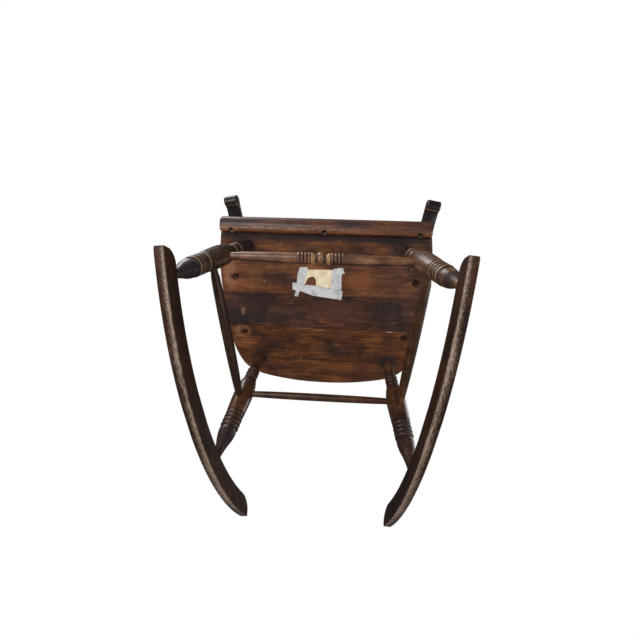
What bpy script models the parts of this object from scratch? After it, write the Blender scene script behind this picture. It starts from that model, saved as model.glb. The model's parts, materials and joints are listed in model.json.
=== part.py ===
"""Rolled-arm wooden rocking chair, built as it comes apart on a bench.

Every piece is drawn in the seat's own frame: X is the sitter's left, -Y is the front, +Z is up,
and the origin is in the middle of the seat plank's front joint, on its underside.
The empty "chair" then leans that frame back to the chair's balance and stands it on the floor.
Units are metres.
"""

from math import atan2, cos, pi, radians, sin, tan

import bmesh
import bpy
from mathutils import Matrix, Vector

# ---- Driving dimensions -------------------------------------------------------------------
GAP = 0.0003                    # clearance between touching pieces
REST_LEAN = radians(1.66)        # backward lean of the seat when the empty chair is at rest

SEAT_THICK = 0.033
SEAT_FRONT_HALF = 0.245
SEAT_BACK_Y = 0.4135
BOARD_JOINTS = (0.062, 0.153, 0.243, 0.340)     # where the five seat boards meet, from the front joint
SEAT_EDGE_ROUND = 0.004
SADDLE_DEPTH = 0.009
SADDLE_HALF = Vector((0.205, 0.150))            # half width and half depth of the scooped area
SADDLE_CENTRE_Y = 0.195

ROLL_DROP = 0.018               # how far the front roll hangs below the seat's underside
ROLL_REAR_Y = -0.0085
ROLL_RIDGE_Y = -0.0180          # where its flat bottom turns up into the round front
ROLL_FRONT_Y = -0.0355
ROLL_HALF = 0.2415
ROLL_SCREW_XS = (-0.2145, 0.0, 0.2145)
ROLL_SCREW_SLANT = radians(24)
ROLL_POCKET_R = 0.0060

ROCKER_RADIUS = 0.8046          # of the bottom edge, in the rocker's own plane
ROCKER_CENTRE = (0.2383, 0.438)
ROCKER_DEPTH = 0.0447
ROCKER_THICK = 0.019
REST_FLAT = radians(5.6)        # the worn flat that the empty chair stands on, as an angle of that edge
ROCKER_TIPS = (radians(-21.9), radians(31.8))   # where the bottom edge ends, ahead and behind
FACETS_AHEAD, FACETS_BEHIND = 14, 19
FRONT_END_ROUND = (0.031, 0.036)                # length and height of the rounded front end
REAR_END_ROUND = (0.058, 0.041)

FRONT_LEG = (Vector((0.182, 0.029, 0)), Vector((0.2490, 0.0002)))    # top, and where the foot lands
REAR_LEG = (Vector((0.170, 0.338, 0)), Vector((0.2062, 0.4043)))
LEG_NECK_R = 0.0125
FOOT_R = 0.0086
LOWER_BEADS_AT = {"front_leg": 0.1005, "rear_leg": 0.1175}    # where that row starts, up from the floor end
LEG_BULB = ((0.0184, 0.95), (0.0193, 0.86), (0.0176, 0.65), (0.0143, 0.44), (0.0112, 0.24))
FOOT_TENON_R = 0.0066
FOOT_TENON_DEEP = 0.026
LEG_SOCKET_DEEP = 0.021

FRONT_STRETCHER_AT = 0.1266     # distance down the front leg from the seat
REAR_STRETCHER_AT = 0.1330
SIDE_STRETCHER_AT = (0.1630, 0.1575)            # down the front leg, down the rear leg
STRETCHER_END_R = 0.0075
STRETCHER_TENON = 0.012         # how deep a stretcher goes into a leg's side
SIDE_STRETCHER_R = (0.0090, 0.0113)             # just outside the legs, and in the middle
REAR_STRETCHER_R = (0.0078, 0.0092)

ARM_POST_BASES = ((0.2225, 0.110), (0.2080, 0.263))
ARM_POST_TOP_YS = (0.096, 0.250)
ARM_POST_TENON = 0.0165         # how deep an arm post goes into the seat
ARM_POST_BOTTOM_R = 0.0100
ARM_POST_TOP_R = 0.0085
COUNTERBORE_R = 0.0095
COUNTERBORE_DEEP = 0.011
SCREW_SHANK_R = 0.0020
SCREW_HEAD_R = 0.0044
PIN_R = 0.0010                  # brads that hold the feet in the rockers

ARM_FRONT = Vector((0.286, -0.0355))            # the arm's front end, on its centre line
ARM_REAR_Y = 0.3715
ARM_UNDERSIDE = 0.240
ARM_THICK = 0.021
ARM_SCROLL_R = 0.0155
ARM_TENON_R = 0.0062            # the rear tenon, into the back post
ARM_WIDTHS = (0.038, 0.047, 0.030)              # at the scroll, at the elbow, at the rear

BACK_POST_BASE = (0.205, 0.336)
BACK_POST_R = 0.0135
BACK_TOP_SPREAD = 1.20          # how much wider the back is at the crest than at the seat
SPINDLE_XS = (-0.156, -0.105, -0.053, 0.0, 0.053, 0.105, 0.156)
SPINDLE_INSET = 0.026
SPINDLE_R = 0.0068
SPINDLE_END_R = 0.0052
BACK_SOCKET_DEEP = 0.020
CREST_BASE = Vector((0, 0.570, 0.632))          # middle of the crest's bottom edge
CREST_RAKE = radians(23)
CREST_CURVE_RADIUS = 0.95
CREST_HALF = 0.290
CREST_THICK = 0.022
CREST_TENON = 0.020

SHEET_THICK = 0.0003            # paper and tape
LABEL_OUTLINE = ((-0.056, 0.086), (0.030, 0.0845), (0.032, 0.131), (-0.0196, 0.1327), (-0.0208, 0.111),
                 (-0.033, 0.1045), (-0.040, 0.1075), (-0.046, 0.122), (-0.057, 0.127))
TAPE_STRIPS = {
    "tape_right": ((-0.065, 0.0805), (-0.041, 0.080), (-0.043, 0.102), (-0.059, 0.136), (-0.065, 0.157),
                   (-0.0745, 0.156), (-0.0785, 0.137), (-0.0776, 0.120)),
    "tape_left": ((0.0213, 0.082), (0.0445, 0.078), (0.049, 0.092), (0.0420, 0.096), (0.0425, 0.1355),
                  (0.0166, 0.133)),
    "tape_rear": ((-0.061, 0.123), (-0.025, 0.1265), (0.0454, 0.1375), (0.0427, 0.1615), (-0.0284, 0.153),
                  (-0.0613, 0.140)),
}

WOOD_DARK = (0.055, 0.022, 0.010)
WOOD_MID = (0.120, 0.046, 0.018)
WOOD_SEAT = (0.160, 0.066, 0.027)
STEEL = (0.060, 0.050, 0.045)
PAPER = (0.760, 0.640, 0.430)
TAPE = (0.720, 0.710, 0.690)

LEG_STEPS, POST_STEPS, SPINDLE_SIDES = 14, 12, 10

UP = Vector((0, 0, 1))


# ---- Scene helpers ------------------------------------------------------------------------
def clear_scene():
    for old in list(bpy.data.objects):
        bpy.data.objects.remove(old, do_unlink=True)


def new_collection(name):
    made = bpy.data.collections.new(name)
    bpy.context.scene.collection.children.link(made)
    return made


clear_scene()
PARTS = new_collection("rocking_chair")
CUTTERS = new_collection("cutters")
CHAIR = bpy.data.objects.new("chair", None)
PARTS.objects.link(CHAIR)


def make_material(name, colour, roughness, metallic=0.0):
    made = bpy.data.materials.new(name)
    made.use_nodes = True
    shader = made.node_tree.nodes["Principled BSDF"]
    shader.inputs["Base Color"].default_value = (*colour, 1.0)
    shader.inputs["Roughness"].default_value = roughness
    shader.inputs["Metallic"].default_value = metallic
    return made


MATERIALS = {
    "frame": make_material("frame_wood", WOOD_DARK, 0.42),
    "turned": make_material("turned_wood", WOOD_MID, 0.38),
    "seat": make_material("seat_wood", WOOD_SEAT, 0.50),
    "steel": make_material("screw_steel", STEEL, 0.45, 0.9),
    "paper": make_material("label_paper", PAPER, 0.85),
    "tape": make_material("masking_tape", TAPE, 0.80),
}


def as_part(made, material):
    """Puts an object in the chair's collection and frame, with its material."""
    made.data.materials.clear()
    made.data.materials.append(MATERIALS[material])
    for home in list(made.users_collection):
        home.objects.unlink(made)
    PARTS.objects.link(made)
    made.parent = CHAIR
    return made


def as_cutter(made):
    for home in list(made.users_collection):
        home.objects.unlink(made)
    CUTTERS.objects.link(made)
    made.hide_render = True
    made.display_type = "WIRE"
    made.parent = CHAIR
    return made


def mesh_object(name, mesh):
    made = bpy.data.objects.new(name, mesh)
    bpy.context.scene.collection.objects.link(made)
    return made


def shade_round(made, angle=radians(40)):
    made.data.shade_smooth()
    made.data.set_sharp_from_angle(angle=angle)


def boolean(made, other, operation):
    modifier = made.modifiers.new(operation.lower() + "_" + other.name, "BOOLEAN")
    modifier.operation = operation
    modifier.object = other
    modifier.solver = "EXACT"
    modifier.use_self = True
    return modifier


def bevel(made, width, segments=2, angle=radians(35)):
    modifier = made.modifiers.new("edges", "BEVEL")
    modifier.width = width
    modifier.segments = segments
    modifier.limit_method = "ANGLE"
    modifier.angle_limit = angle
    return modifier


def axis_frame(origin, direction, twist=0.0):
    """A matrix at origin whose Z axis runs along direction."""
    turned = Vector(direction).to_track_quat("Z", "Y").to_matrix().to_4x4()
    return Matrix.Translation(origin) @ turned @ Matrix.Rotation(twist, 4, "Z")


def socket_radius(radius, sides):
    """A faceted hole's corner radius that clears a round peg of this radius by GAP all round."""
    return (radius + GAP) / cos(pi / sides)


def rods(name, stretches, sides=16):
    """One cutter holding a cylinder for each (start, end, radius)."""
    made = bmesh.new()
    for start, end, radius in stretches:
        start, end = Vector(start), Vector(end)
        frame = axis_frame((start + end) / 2, end - start)
        bmesh.ops.create_cone(
            made, cap_ends=True, segments=sides, radius1=radius, radius2=radius,
            depth=(end - start).length, matrix=frame,
        )
    mesh = bpy.data.meshes.new(name)
    made.to_mesh(mesh)
    made.free()
    return as_cutter(mesh_object(name, mesh))


def block(name, low, high):
    """A box between two corners, as a cutter."""
    low, high = Vector(low), Vector(high)
    made = bmesh.new()
    bmesh.ops.create_cube(made, size=1.0)
    size = high - low
    bmesh.ops.scale(made, vec=size, verts=made.verts)
    bmesh.ops.translate(made, vec=(low + high) / 2, verts=made.verts)
    mesh = bpy.data.meshes.new(name)
    made.to_mesh(mesh)
    made.free()
    return as_cutter(mesh_object(name, mesh))


def turned(name, profile, steps):
    """A lathe-turned mesh: profile is (radius, distance along Z), from the top end to the bottom end."""
    points = [(0.0, profile[0][1]), *profile, (0.0, profile[-1][1])]
    mesh = bpy.data.meshes.new(name)
    mesh.from_pydata([(r, 0, z) for r, z in points], [(i, i + 1) for i in range(len(points) - 1)], [])
    made = mesh_object(name, mesh)
    screw = made.modifiers.new("lathe", "SCREW")
    screw.axis = "Z"
    screw.steps = screw.render_steps = steps
    screw.use_merge_vertices = True
    screw.merge_threshold = 0.00005
    screw.use_smooth_shade = True
    return made


def outline_solid(name, points, thick):
    """A flat closed outline, given as points in its own XY plane, filled and given thickness along its Z."""
    curve = bpy.data.curves.new(name, "CURVE")
    curve.dimensions = "2D"
    curve.fill_mode = "BOTH"
    curve.extrude = thick / 2
    spline = curve.splines.new("POLY")
    spline.points.add(len(points) - 1)
    for target, (x, y) in zip(spline.points, points):
        target.co = (x, y, 0, 1)
    spline.use_cyclic_u = True
    made = mesh_object(name, curve)
    return to_mesh(made)


def to_mesh(made):
    """The curve as a closed mesh object of the same name and place."""
    bpy.context.view_layer.update()
    seen = made.evaluated_get(bpy.context.evaluated_depsgraph_get())
    mesh = bpy.data.meshes.new_from_object(seen)
    place = made.matrix_world.copy()
    name = made.name
    bpy.data.objects.remove(made, do_unlink=True)
    welder = bmesh.new()
    welder.from_mesh(mesh)
    bmesh.ops.remove_doubles(welder, verts=welder.verts, dist=0.00001)
    bmesh.ops.recalc_face_normals(welder, faces=welder.faces)
    welder.to_mesh(mesh)
    welder.free()
    mesh.name = name
    solid = mesh_object(name, mesh)
    solid.matrix_world = place
    return solid


def smooth_line(points, steps):
    """Points on a Catmull-Rom curve through the given ones, with this many steps between each pair."""
    points = [Vector(p) for p in points]
    ends = [2 * points[0] - points[1], *points, 2 * points[-1] - points[-2]]
    line = []
    for i in range(1, len(ends) - 2):
        a, b, c, d = ends[i - 1: i + 3]
        for k in range(steps):
            t = k / steps
            line.append(0.5 * (2 * b + (c - a) * t + (2 * a - 5 * b + 4 * c - d) * t * t
                               + (3 * b - a - 3 * c + d) * t ** 3))
    return [*line, points[-1]]


def arc_points(centre, radii, start, end, steps):
    """Points on an ellipse's arc, both ends included, for angles in degrees from +X."""
    found = []
    for k in range(steps + 1):
        angle = radians(start + (end - start) * k / steps)
        found.append(Vector((centre[0] + radii[0] * cos(angle), centre[1] + radii[1] * sin(angle))))
    return found


# ---- Rockers and legs ---------------------------------------------------------------------
TOE_IN = atan2(FRONT_LEG[1].x - REAR_LEG[1].x, REAR_LEG[1].y - FRONT_LEG[1].y)


def rocker_x(y):
    """The rockers' distance from the middle plane: they come closer together towards the rear."""
    return FRONT_LEG[1].x - (y - FRONT_LEG[1].y) * tan(TOE_IN)


def rocker_top(y):
    """Height of the rocker's top edge, in the seat's frame."""
    along = (y - ROCKER_CENTRE[0]) / cos(TOE_IN)
    inner = ROCKER_RADIUS - ROCKER_DEPTH
    return ROCKER_CENTRE[1] - (inner ** 2 - along ** 2) ** 0.5


def foot_point(spot):
    return Vector((spot.x, spot.y, rocker_top(spot.y)))


LEGS = {
    "front_leg": (FRONT_LEG[0], foot_point(FRONT_LEG[1])),
    "rear_leg": (REAR_LEG[0], foot_point(REAR_LEG[1])),
}


def mirrored(point, side):
    return Vector((point[0] * side, point[1], point[2]))


def bottom_angles():
    """The corners of the faceted bottom edge, as angles about the rocker's centre."""
    flat = (REST_LEAN - REST_FLAT / 2, REST_LEAN + REST_FLAT / 2)
    ahead, behind = flat[0] - ROCKER_TIPS[0], ROCKER_TIPS[1] - flat[1]
    return ([ROCKER_TIPS[0] + ahead * k / FACETS_AHEAD for k in range(FACETS_AHEAD + 1)]
            + [flat[1] + behind * k / FACETS_BEHIND for k in range(FACETS_BEHIND + 1)])


def rocker_spot(angle, radius):
    return Vector((ROCKER_CENTRE[0] + radius * sin(angle), ROCKER_CENTRE[1] - radius * cos(angle)))


def rocker_outline(depth, rounded_ends=True):
    """The rocker's side view, along its own plane and upward: faceted bottom arc, then the top arc back."""
    angles = bottom_angles()
    bottom = [rocker_spot(angle, ROCKER_RADIUS) for angle in angles]
    inner = ROCKER_RADIUS - depth
    if not rounded_ends:
        return bottom + [rocker_spot(angle, inner) for angle in reversed(angles)]
    found = list(bottom)
    steps = 6
    length, height = REAR_END_ROUND
    for k in range(steps + 1):      # a quarter ellipse from the rear tip up to the top edge
        turn = pi / 2 * k / steps
        radius = inner + height * (1 - sin(turn))
        found.append(rocker_spot(angles[-1] - (length / inner) * (1 - cos(turn)), radius))
    top_count = 24
    first = angles[-1] - length / inner
    last = angles[0] + FRONT_END_ROUND[0] / inner
    for k in range(1, top_count):
        found.append(rocker_spot(first + (last - first) * k / top_count, inner))
    length, height = FRONT_END_ROUND
    for k in range(steps, -1, -1):
        turn = pi / 2 * k / steps
        radius = inner + height * (1 - sin(turn))
        found.append(rocker_spot(angles[0] + (length / inner) * (1 - cos(turn)), radius))
    return found


def rocker_place(side):
    """The matrix that stands a rocker's outline (X along it, Y up) in its own leaning-in plane."""
    forward = Vector((-sin(TOE_IN) * side, cos(TOE_IN), 0))
    across = forward.cross(UP)
    turned_frame = Matrix((forward, UP, across)).transposed().to_4x4()
    start_y = ROCKER_CENTRE[0]
    start = Vector((rocker_x(start_y) * side, start_y, 0))
    shift = Matrix.Translation((-start_y, 0, 0))
    return Matrix.Translation(start) @ turned_frame @ shift


def leg_direction(kind):
    top, foot = LEGS[kind]
    return (foot - top).normalized()


def foot_tenon(kind, side):
    top, foot = LEGS[kind]
    run = leg_direction(kind)
    return mirrored(foot - run * 0.010, side), mirrored(foot + run * FOOT_TENON_DEEP, side)


def pin_line(kind, side):
    """A steel brad through the rocker and the foot's tenon, from the outer face."""
    top, foot = LEGS[kind]
    centre = mirrored(foot + leg_direction(kind) * 0.014, side)
    across = Vector((cos(TOE_IN) * side, sin(TOE_IN), 0))
    return centre + across * (ROCKER_THICK / 2 - 0.0002), centre - across * (ROCKER_THICK / 2 - 0.003)


def make_rocker(name, side):
    made = outline_solid(name, rocker_outline(ROCKER_DEPTH), ROCKER_THICK)
    made.matrix_world = rocker_place(side)
    bevel(made, 0.0022, 1)
    sockets = []
    for kind in LEGS:
        start, end = foot_tenon(kind, side)
        run = (end - start).normalized()
        sockets.append((start, end + run * 0.0006, socket_radius(FOOT_TENON_R, 12)))
    boolean(made, rods(name + "_sockets", sockets, 12), "DIFFERENCE")
    pins = []
    for kind in LEGS:
        outer, inner = pin_line(kind, side)
        run = (inner - outer).normalized()
        pins.append((outer - run * 0.003, inner + run * GAP, socket_radius(PIN_R, 8)))
    boolean(made, rods(name + "_pin_holes", pins, 8), "DIFFERENCE")
    shade_round(made)
    return as_part(made, "frame")


def beads(start, pitch, count, crest_from, crest_to, groove_drop):
    """A row of turned beads: crests growing from one radius to the other, with a groove before each."""
    found = []
    for k in range(count):
        crest = crest_from + (crest_to - crest_from) * k / max(1, count - 1)
        at = start + pitch * k
        found += [(crest - groove_drop, at), (crest, at + pitch * 0.5)]
    return [*found, (crest_to - groove_drop, start + pitch * count)]


def leg_profile(kind, length):
    """Radius against distance from the seat, from the seat tenon to just inside the rocker."""
    top = [(LEG_NECK_R, -LEG_SOCKET_DEEP), (LEG_NECK_R, 0.003), (0.0134, 0.014), (0.0136, 0.022),
           (0.0122, 0.034), (0.0126, 0.048)]
    upper_beads = beads(0.0535, 0.0112, 3, 0.0150, 0.0158, 0.0016)
    row = length - LOWER_BEADS_AT[kind]
    barrel = [(0.0168, 0.090), (0.0212, 0.110), (0.0234, 0.135), (0.0230, 0.158), (0.0215, row - 0.0035)]
    lower_beads = beads(row, 0.0112, 4, 0.0211, 0.0206, 0.0018)
    below = LOWER_BEADS_AT[kind] - 0.0448
    bulb = [(r, length - below * share) for r, share in LEG_BULB]
    return [*top, *upper_beads, *barrel, *lower_beads, *bulb, (0.0089, length - 0.004), (FOOT_R, length + 0.006)]


def leg_point(kind, distance, side):
    top, foot = LEGS[kind]
    return mirrored(top + leg_direction(kind) * distance, side)


def stretcher_ends():
    """Each stretcher's name and the two leg points that it joins."""
    ends = {
        "front_stretcher": (leg_point("front_leg", FRONT_STRETCHER_AT, -1),
                            leg_point("front_leg", FRONT_STRETCHER_AT, 1)),
        "rear_stretcher": (leg_point("rear_leg", REAR_STRETCHER_AT, -1),
                           leg_point("rear_leg", REAR_STRETCHER_AT, 1)),
    }
    for label, side in (("left", 1), ("right", -1)):
        ends["side_stretcher_" + label] = (leg_point("front_leg", SIDE_STRETCHER_AT[0], side),
                                           leg_point("rear_leg", SIDE_STRETCHER_AT[1], side))
    return ends


STRETCHERS = stretcher_ends()
TENON_START = 0.0195 - STRETCHER_TENON      # a stretcher's end, measured from the leg's axis


def stretcher_span(name):
    start, end = STRETCHERS[name]
    run = (end - start).normalized()
    return start + run * TENON_START, end - run * TENON_START


def make_leg(name, kind, side):
    top, foot = LEGS[kind]
    length = (foot - top).length
    made = turned(name, [(r, -z) for r, z in leg_profile(kind, length)], LEG_STEPS)
    made.matrix_world = axis_frame(mirrored(top, side), -mirrored(leg_direction(kind), side))
    coping = outline_solid(name + "_coping", rocker_outline(ROCKER_DEPTH + GAP, False), 0.06)
    coping.matrix_world = rocker_place(side)
    boolean(made, as_cutter(coping), "DIFFERENCE")
    tenon = rods(name + "_tenon", [(*foot_tenon(kind, side), FOOT_TENON_R)], 12)
    boolean(made, tenon, "UNION")
    holes = []
    for span_name in STRETCHERS:
        for tip, other in (stretcher_span(span_name), stretcher_span(span_name)[::-1]):
            axis_gap = min((tip - leg_point(kind, d / 1000, side)).length for d in range(110, 170, 2))
            if axis_gap < 0.02:
                run = (other - tip).normalized()
                holes.append((tip - run * GAP, tip + run * 0.022, socket_radius(STRETCHER_END_R, 12)))
    boolean(made, rods(name + "_sockets", holes, 12), "DIFFERENCE")
    outer, inner = pin_line(kind, side)
    pin = rods(name + "_pin_hole", [(outer, inner + (inner - outer).normalized() * GAP,
                                     socket_radius(PIN_R, 8))], 8)
    boolean(made, pin, "DIFFERENCE")
    return as_part(made, "turned")


def make_pins():
    for label, side in (("left", 1), ("right", -1)):
        for kind in LEGS:
            outer, inner = pin_line(kind, side)
            profile = [(PIN_R, 0.0), (PIN_R, -(inner - outer).length)]
            made = turned(f"rocker_pin_{kind[:-4]}_{label}", profile, 8)
            made.matrix_world = axis_frame(outer, outer - inner)
            as_part(made, "steel")


def plain_stretcher_profile(length, end_radius, mid_radius):
    """A dowel that swells gently from its two ends to its middle, with a thinner tenon at each end."""
    shares = (0.085, 0.2, 0.4, 0.6, 0.8, 0.915)
    rise = (0.0, 0.55, 0.95, 0.95, 0.55, 0.0)
    swell = [(end_radius + (mid_radius - end_radius) * k, length * s) for s, k in zip(shares, rise)]
    shoulder = 0.0225
    return [(STRETCHER_END_R, 0.0), (STRETCHER_END_R, shoulder), *swell,
            (STRETCHER_END_R, length - shoulder), (STRETCHER_END_R, length)]


def front_stretcher_profile(length):
    """Two tapering dowels, each ending in four beads and a cone, with a ball between them."""
    half = length / 2
    ball_r, bead_r = 0.0134, 0.0126
    side = [(STRETCHER_END_R, 0.0), (STRETCHER_END_R, 0.014), (0.0092, half - 0.115), (0.0112, half - 0.0505)]
    side += beads(half - 0.0495, 0.0073, 4, bead_r, bead_r, 0.0022)
    side += [(0.0124, half - 0.0190), (0.0084, half - 0.0115), (0.0080, half - 0.0090)]
    turns = [radians(d) for d in range(-50, 51, 20)]
    ball = [(ball_r * cos(a), half + ball_r * 0.62 * sin(a)) for a in turns]
    other = [(r, length - z) for r, z in reversed(side)]
    return [*side, *ball, *other]


def make_stretcher(name):
    start, end = stretcher_span(name)
    length = (end - start).length
    if name == "front_stretcher":
        profile = front_stretcher_profile(length)
    else:
        radii = REAR_STRETCHER_R if name == "rear_stretcher" else SIDE_STRETCHER_R
        profile = plain_stretcher_profile(length, *radii)
    made = turned(name, [(r, -z) for r, z in profile], POST_STEPS)
    made.matrix_world = axis_frame(start, start - end)
    return as_part(made, "turned")


# ---- Seat ---------------------------------------------------------------------------------
SEAT_SIDE = ((SEAT_FRONT_HALF, 0.0), (0.2515, 0.045), (0.2555, 0.110), (0.2525, 0.190), (0.2465, 0.255),
             (0.2375, 0.306), (0.2190, 0.352), (0.1960, 0.378), (0.1600, 0.3945), (0.1000, 0.4065),
             (0.0500, 0.4120), (0.0, SEAT_BACK_Y))


def seat_outline():
    half = smooth_line([Vector(p) for p in SEAT_SIDE], 2)
    return half + [Vector((-p.x, p.y)) for p in reversed(half[:-1])]


def seat_edge_y(x):
    """The seat's rear edge at this distance from the middle, read off its outline."""
    half = [p for p in smooth_line([Vector(p) for p in SEAT_SIDE], 8) if p.y > 0.30]
    near = min(half, key=lambda p: abs(p.x - abs(x)))
    return near.y


def seat_top(x, y):
    """Height of the seat's top surface: flat round the edge, scooped in the middle."""
    share = (x / SADDLE_HALF.x) ** 2 + ((y - SADDLE_CENTRE_Y) / SADDLE_HALF.y) ** 2
    return SEAT_THICK - SADDLE_DEPTH * max(0.0, 1 - share)


def saddle_cutter():
    """A lens that scoops the seat: a cap of an ellipsoid whose rim is the scooped area's edge."""
    made = bmesh.new()
    bmesh.ops.create_uvsphere(made, u_segments=32, v_segments=16, radius=1.0)
    cap = radians(32)               # the cap's half angle on the unit sphere
    bmesh.ops.rotate(made, verts=made.verts, matrix=Matrix.Rotation(radians(5.6), 3, "Z"))
    tall = SADDLE_DEPTH / (1 - cos(cap))
    bmesh.ops.scale(made, vec=(SADDLE_HALF.x / sin(cap), SADDLE_HALF.y / sin(cap), tall), verts=made.verts)
    rise = Vector((0, SADDLE_CENTRE_Y, SEAT_THICK - SADDLE_DEPTH + tall))
    bmesh.ops.translate(made, vec=rise, verts=made.verts)
    mesh = bpy.data.meshes.new("saddle")
    made.to_mesh(mesh)
    made.free()
    return as_cutter(mesh_object("saddle", mesh))


ARM_RUN = Vector((BACK_POST_BASE[0] + 0.013 - ARM_FRONT.x, ARM_REAR_Y - ARM_FRONT.y))
ARM_TURN = atan2(-ARM_RUN.x, ARM_RUN.y)


def arm_x(y):
    """The arm's centre line: its distance from the middle plane."""
    return ARM_FRONT.x - (y - ARM_FRONT.y) * tan(ARM_TURN)


def arm_underside(along):
    """The arm's underside height at a distance from its front end: a slow S, low at the elbow."""
    share = min(1.0, max(0.0, along / ARM_RUN.length))
    return ARM_UNDERSIDE + 0.0055 * cos(share * 2 * pi) - 0.003 * share


def arm_post_line(index):
    """The axis of an arm post on the sitter's left: where it leaves the seat, and where it meets the arm."""
    x, y = ARM_POST_BASES[index]
    top_y = ARM_POST_TOP_YS[index]
    along = (top_y - ARM_FRONT.y) / cos(ARM_TURN)
    return Vector((x, y, SEAT_THICK)), Vector((arm_x(top_y), top_y, arm_underside(along)))


def hermite(start, end, start_run, end_run, count):
    """Points on a cubic from start to end that leaves and arrives along the given directions."""
    reach = (end - start).length
    m0, m1 = start_run.normalized() * reach, end_run.normalized() * reach
    found = []
    for k in range(count + 1):
        t = k / count
        found.append(start * (2 * t ** 3 - 3 * t * t + 1) + m0 * (t ** 3 - 2 * t * t + t)
                     + end * (3 * t * t - 2 * t ** 3) + m1 * (t ** 3 - t * t))
    return found


CREST_UP = Vector((0, sin(CREST_RAKE), cos(CREST_RAKE)))
CREST_BACK = Vector((0, cos(CREST_RAKE), -sin(CREST_RAKE)))


def crest_bow(x):
    """How far forward of the crest's middle its curve has come at this distance from the middle."""
    return CREST_CURVE_RADIUS - (CREST_CURVE_RADIUS ** 2 - x * x) ** 0.5


def back_line(x, y, count):
    """The bent axis of a back post or spindle that stands at this place on the seat."""
    start = Vector((x, y, SEAT_THICK - BACK_SOCKET_DEEP))
    top_x = x * BACK_TOP_SPREAD
    end = CREST_BASE + Vector((top_x, 0, 0)) - CREST_BACK * crest_bow(top_x) + CREST_UP * CREST_TENON
    splay = (top_x - x) / (end - start).length
    start_run = Vector((splay, 0.190, 1.0))
    end_run = CREST_UP + Vector((splay, 0.02, 0))
    return hermite(start, end, start_run, end_run, count)


def back_post_sides():
    return [("back_post_left", BACK_POST_BASE[0], BACK_POST_BASE[1]),
            ("back_post_right", -BACK_POST_BASE[0], BACK_POST_BASE[1])]


def spindle_feet():
    return [(f"back_spindle_{k + 1}", x, seat_edge_y(x) - SPINDLE_INSET) for k, x in enumerate(SPINDLE_XS)]


ROLL_SCREW_MOUTH = Vector((0, ROLL_REAR_Y - 0.0010, -ROLL_DROP))
ROLL_SCREW_RUN = Vector((0, sin(ROLL_SCREW_SLANT), cos(ROLL_SCREW_SLANT)))


def seat_holes():
    """Every blind hole in the seat, as (start, end, radius): sockets below and above, and screw bores."""
    found = []
    for side in (1, -1):
        for kind in LEGS:
            run = -leg_direction(kind)
            top = LEGS[kind][0]
            end = top + run * (LEG_SOCKET_DEEP + GAP)
            mouth = mirrored(top - run * 0.006, side)
            found.append((mouth, mirrored(end, side), socket_radius(LEG_NECK_R, 16)))
        for index in (0, 1):
            base, top = arm_post_line(index)
            run = (top - base).normalized()
            radius = socket_radius(ARM_POST_BOTTOM_R, 16)
            found.append((mirrored(base - run * (ARM_POST_TENON + GAP), side),
                          mirrored(base + run * 0.01, side), radius))
    return found


def counterbores():
    """Stepped bores from the underside for the arm-post screws, as (start, end, radius)."""
    found = []
    for side in (1, -1):
        for index in (0, 1):
            base, top = arm_post_line(index)
            spot = mirrored(arm_screw_spot(index), side)
            found.append((spot - UP * 0.004, spot + UP * COUNTERBORE_DEEP, COUNTERBORE_R))
            found.append((spot, spot + UP * 0.024, socket_radius(SCREW_SHANK_R, 10)))
    return found


def arm_screw_spot(index):
    """Where an arm-post screw's axis meets the seat's underside: straight below the post's foot."""
    base, top = arm_post_line(index)
    run = (top - base).normalized()
    foot = base - run * ARM_POST_TENON
    return Vector((foot.x, foot.y, 0))


def make_seat():
    """One shaped seat blank, then cut across into its glued boards."""
    blank = outline_solid("seat_blank", seat_outline(), SEAT_THICK)
    blank.matrix_world = Matrix.Translation((0, 0, SEAT_THICK / 2))
    bevel(blank, SEAT_EDGE_ROUND, 2, radians(60))
    boolean(blank, saddle_cutter(), "DIFFERENCE")
    boolean(blank, rods("seat_sockets", seat_holes(), 16), "DIFFERENCE")
    boolean(blank, rods("seat_counterbores", counterbores()[0::2], 16), "DIFFERENCE")
    boolean(blank, rods("seat_screw_holes", counterbores()[1::2], 10), "DIFFERENCE")
    back = [(Vector(line[0]) - UP * GAP, Vector(line[2]), socket_radius(r, 12)) for line, r in back_feet()]
    boolean(blank, rods("seat_back_sockets", back, 12), "DIFFERENCE")
    boolean(blank, rods("seat_roll_screw_holes", roll_screw_bores(0.034, SCREW_SHANK_R), 10), "DIFFERENCE")
    as_cutter(blank)
    blank.hide_render = True
    bpy.context.view_layer.update()
    seen = blank.evaluated_get(bpy.context.evaluated_depsgraph_get())
    whole = bpy.data.meshes.new_from_object(seen)
    joints = (-0.05, *BOARD_JOINTS, 0.5)
    boards = []
    for k in range(len(joints) - 1):
        name = f"seat_board_{k + 1}"
        board = mesh_object(name, whole.copy())
        board.matrix_world = blank.matrix_world
        slab = block(name + "_slab", (-0.4, joints[k] + GAP / 2, -0.05), (0.4, joints[k + 1] - GAP / 2, 0.1))
        boolean(board, slab, "INTERSECT")
        boards.append(as_part(board, "seat"))
    return boards


def back_feet():
    """The lowest stretch of each back post and spindle, with its radius."""
    found = []
    for _, x, y in back_post_sides():
        found.append((back_line(x, y, 30), BACK_POST_R))
    for _, x, y in spindle_feet():
        found.append((back_line(x, y, 30), SPINDLE_END_R))
    return found


def roll_screw_bores(deep, radius, sides=10):
    found = []
    for x in ROLL_SCREW_XS:
        mouth = ROLL_SCREW_MOUTH + Vector((x, 0, 0))
        found.append((mouth, mouth + ROLL_SCREW_RUN * (deep + 0.010), socket_radius(radius, sides)))
    return found


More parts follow.
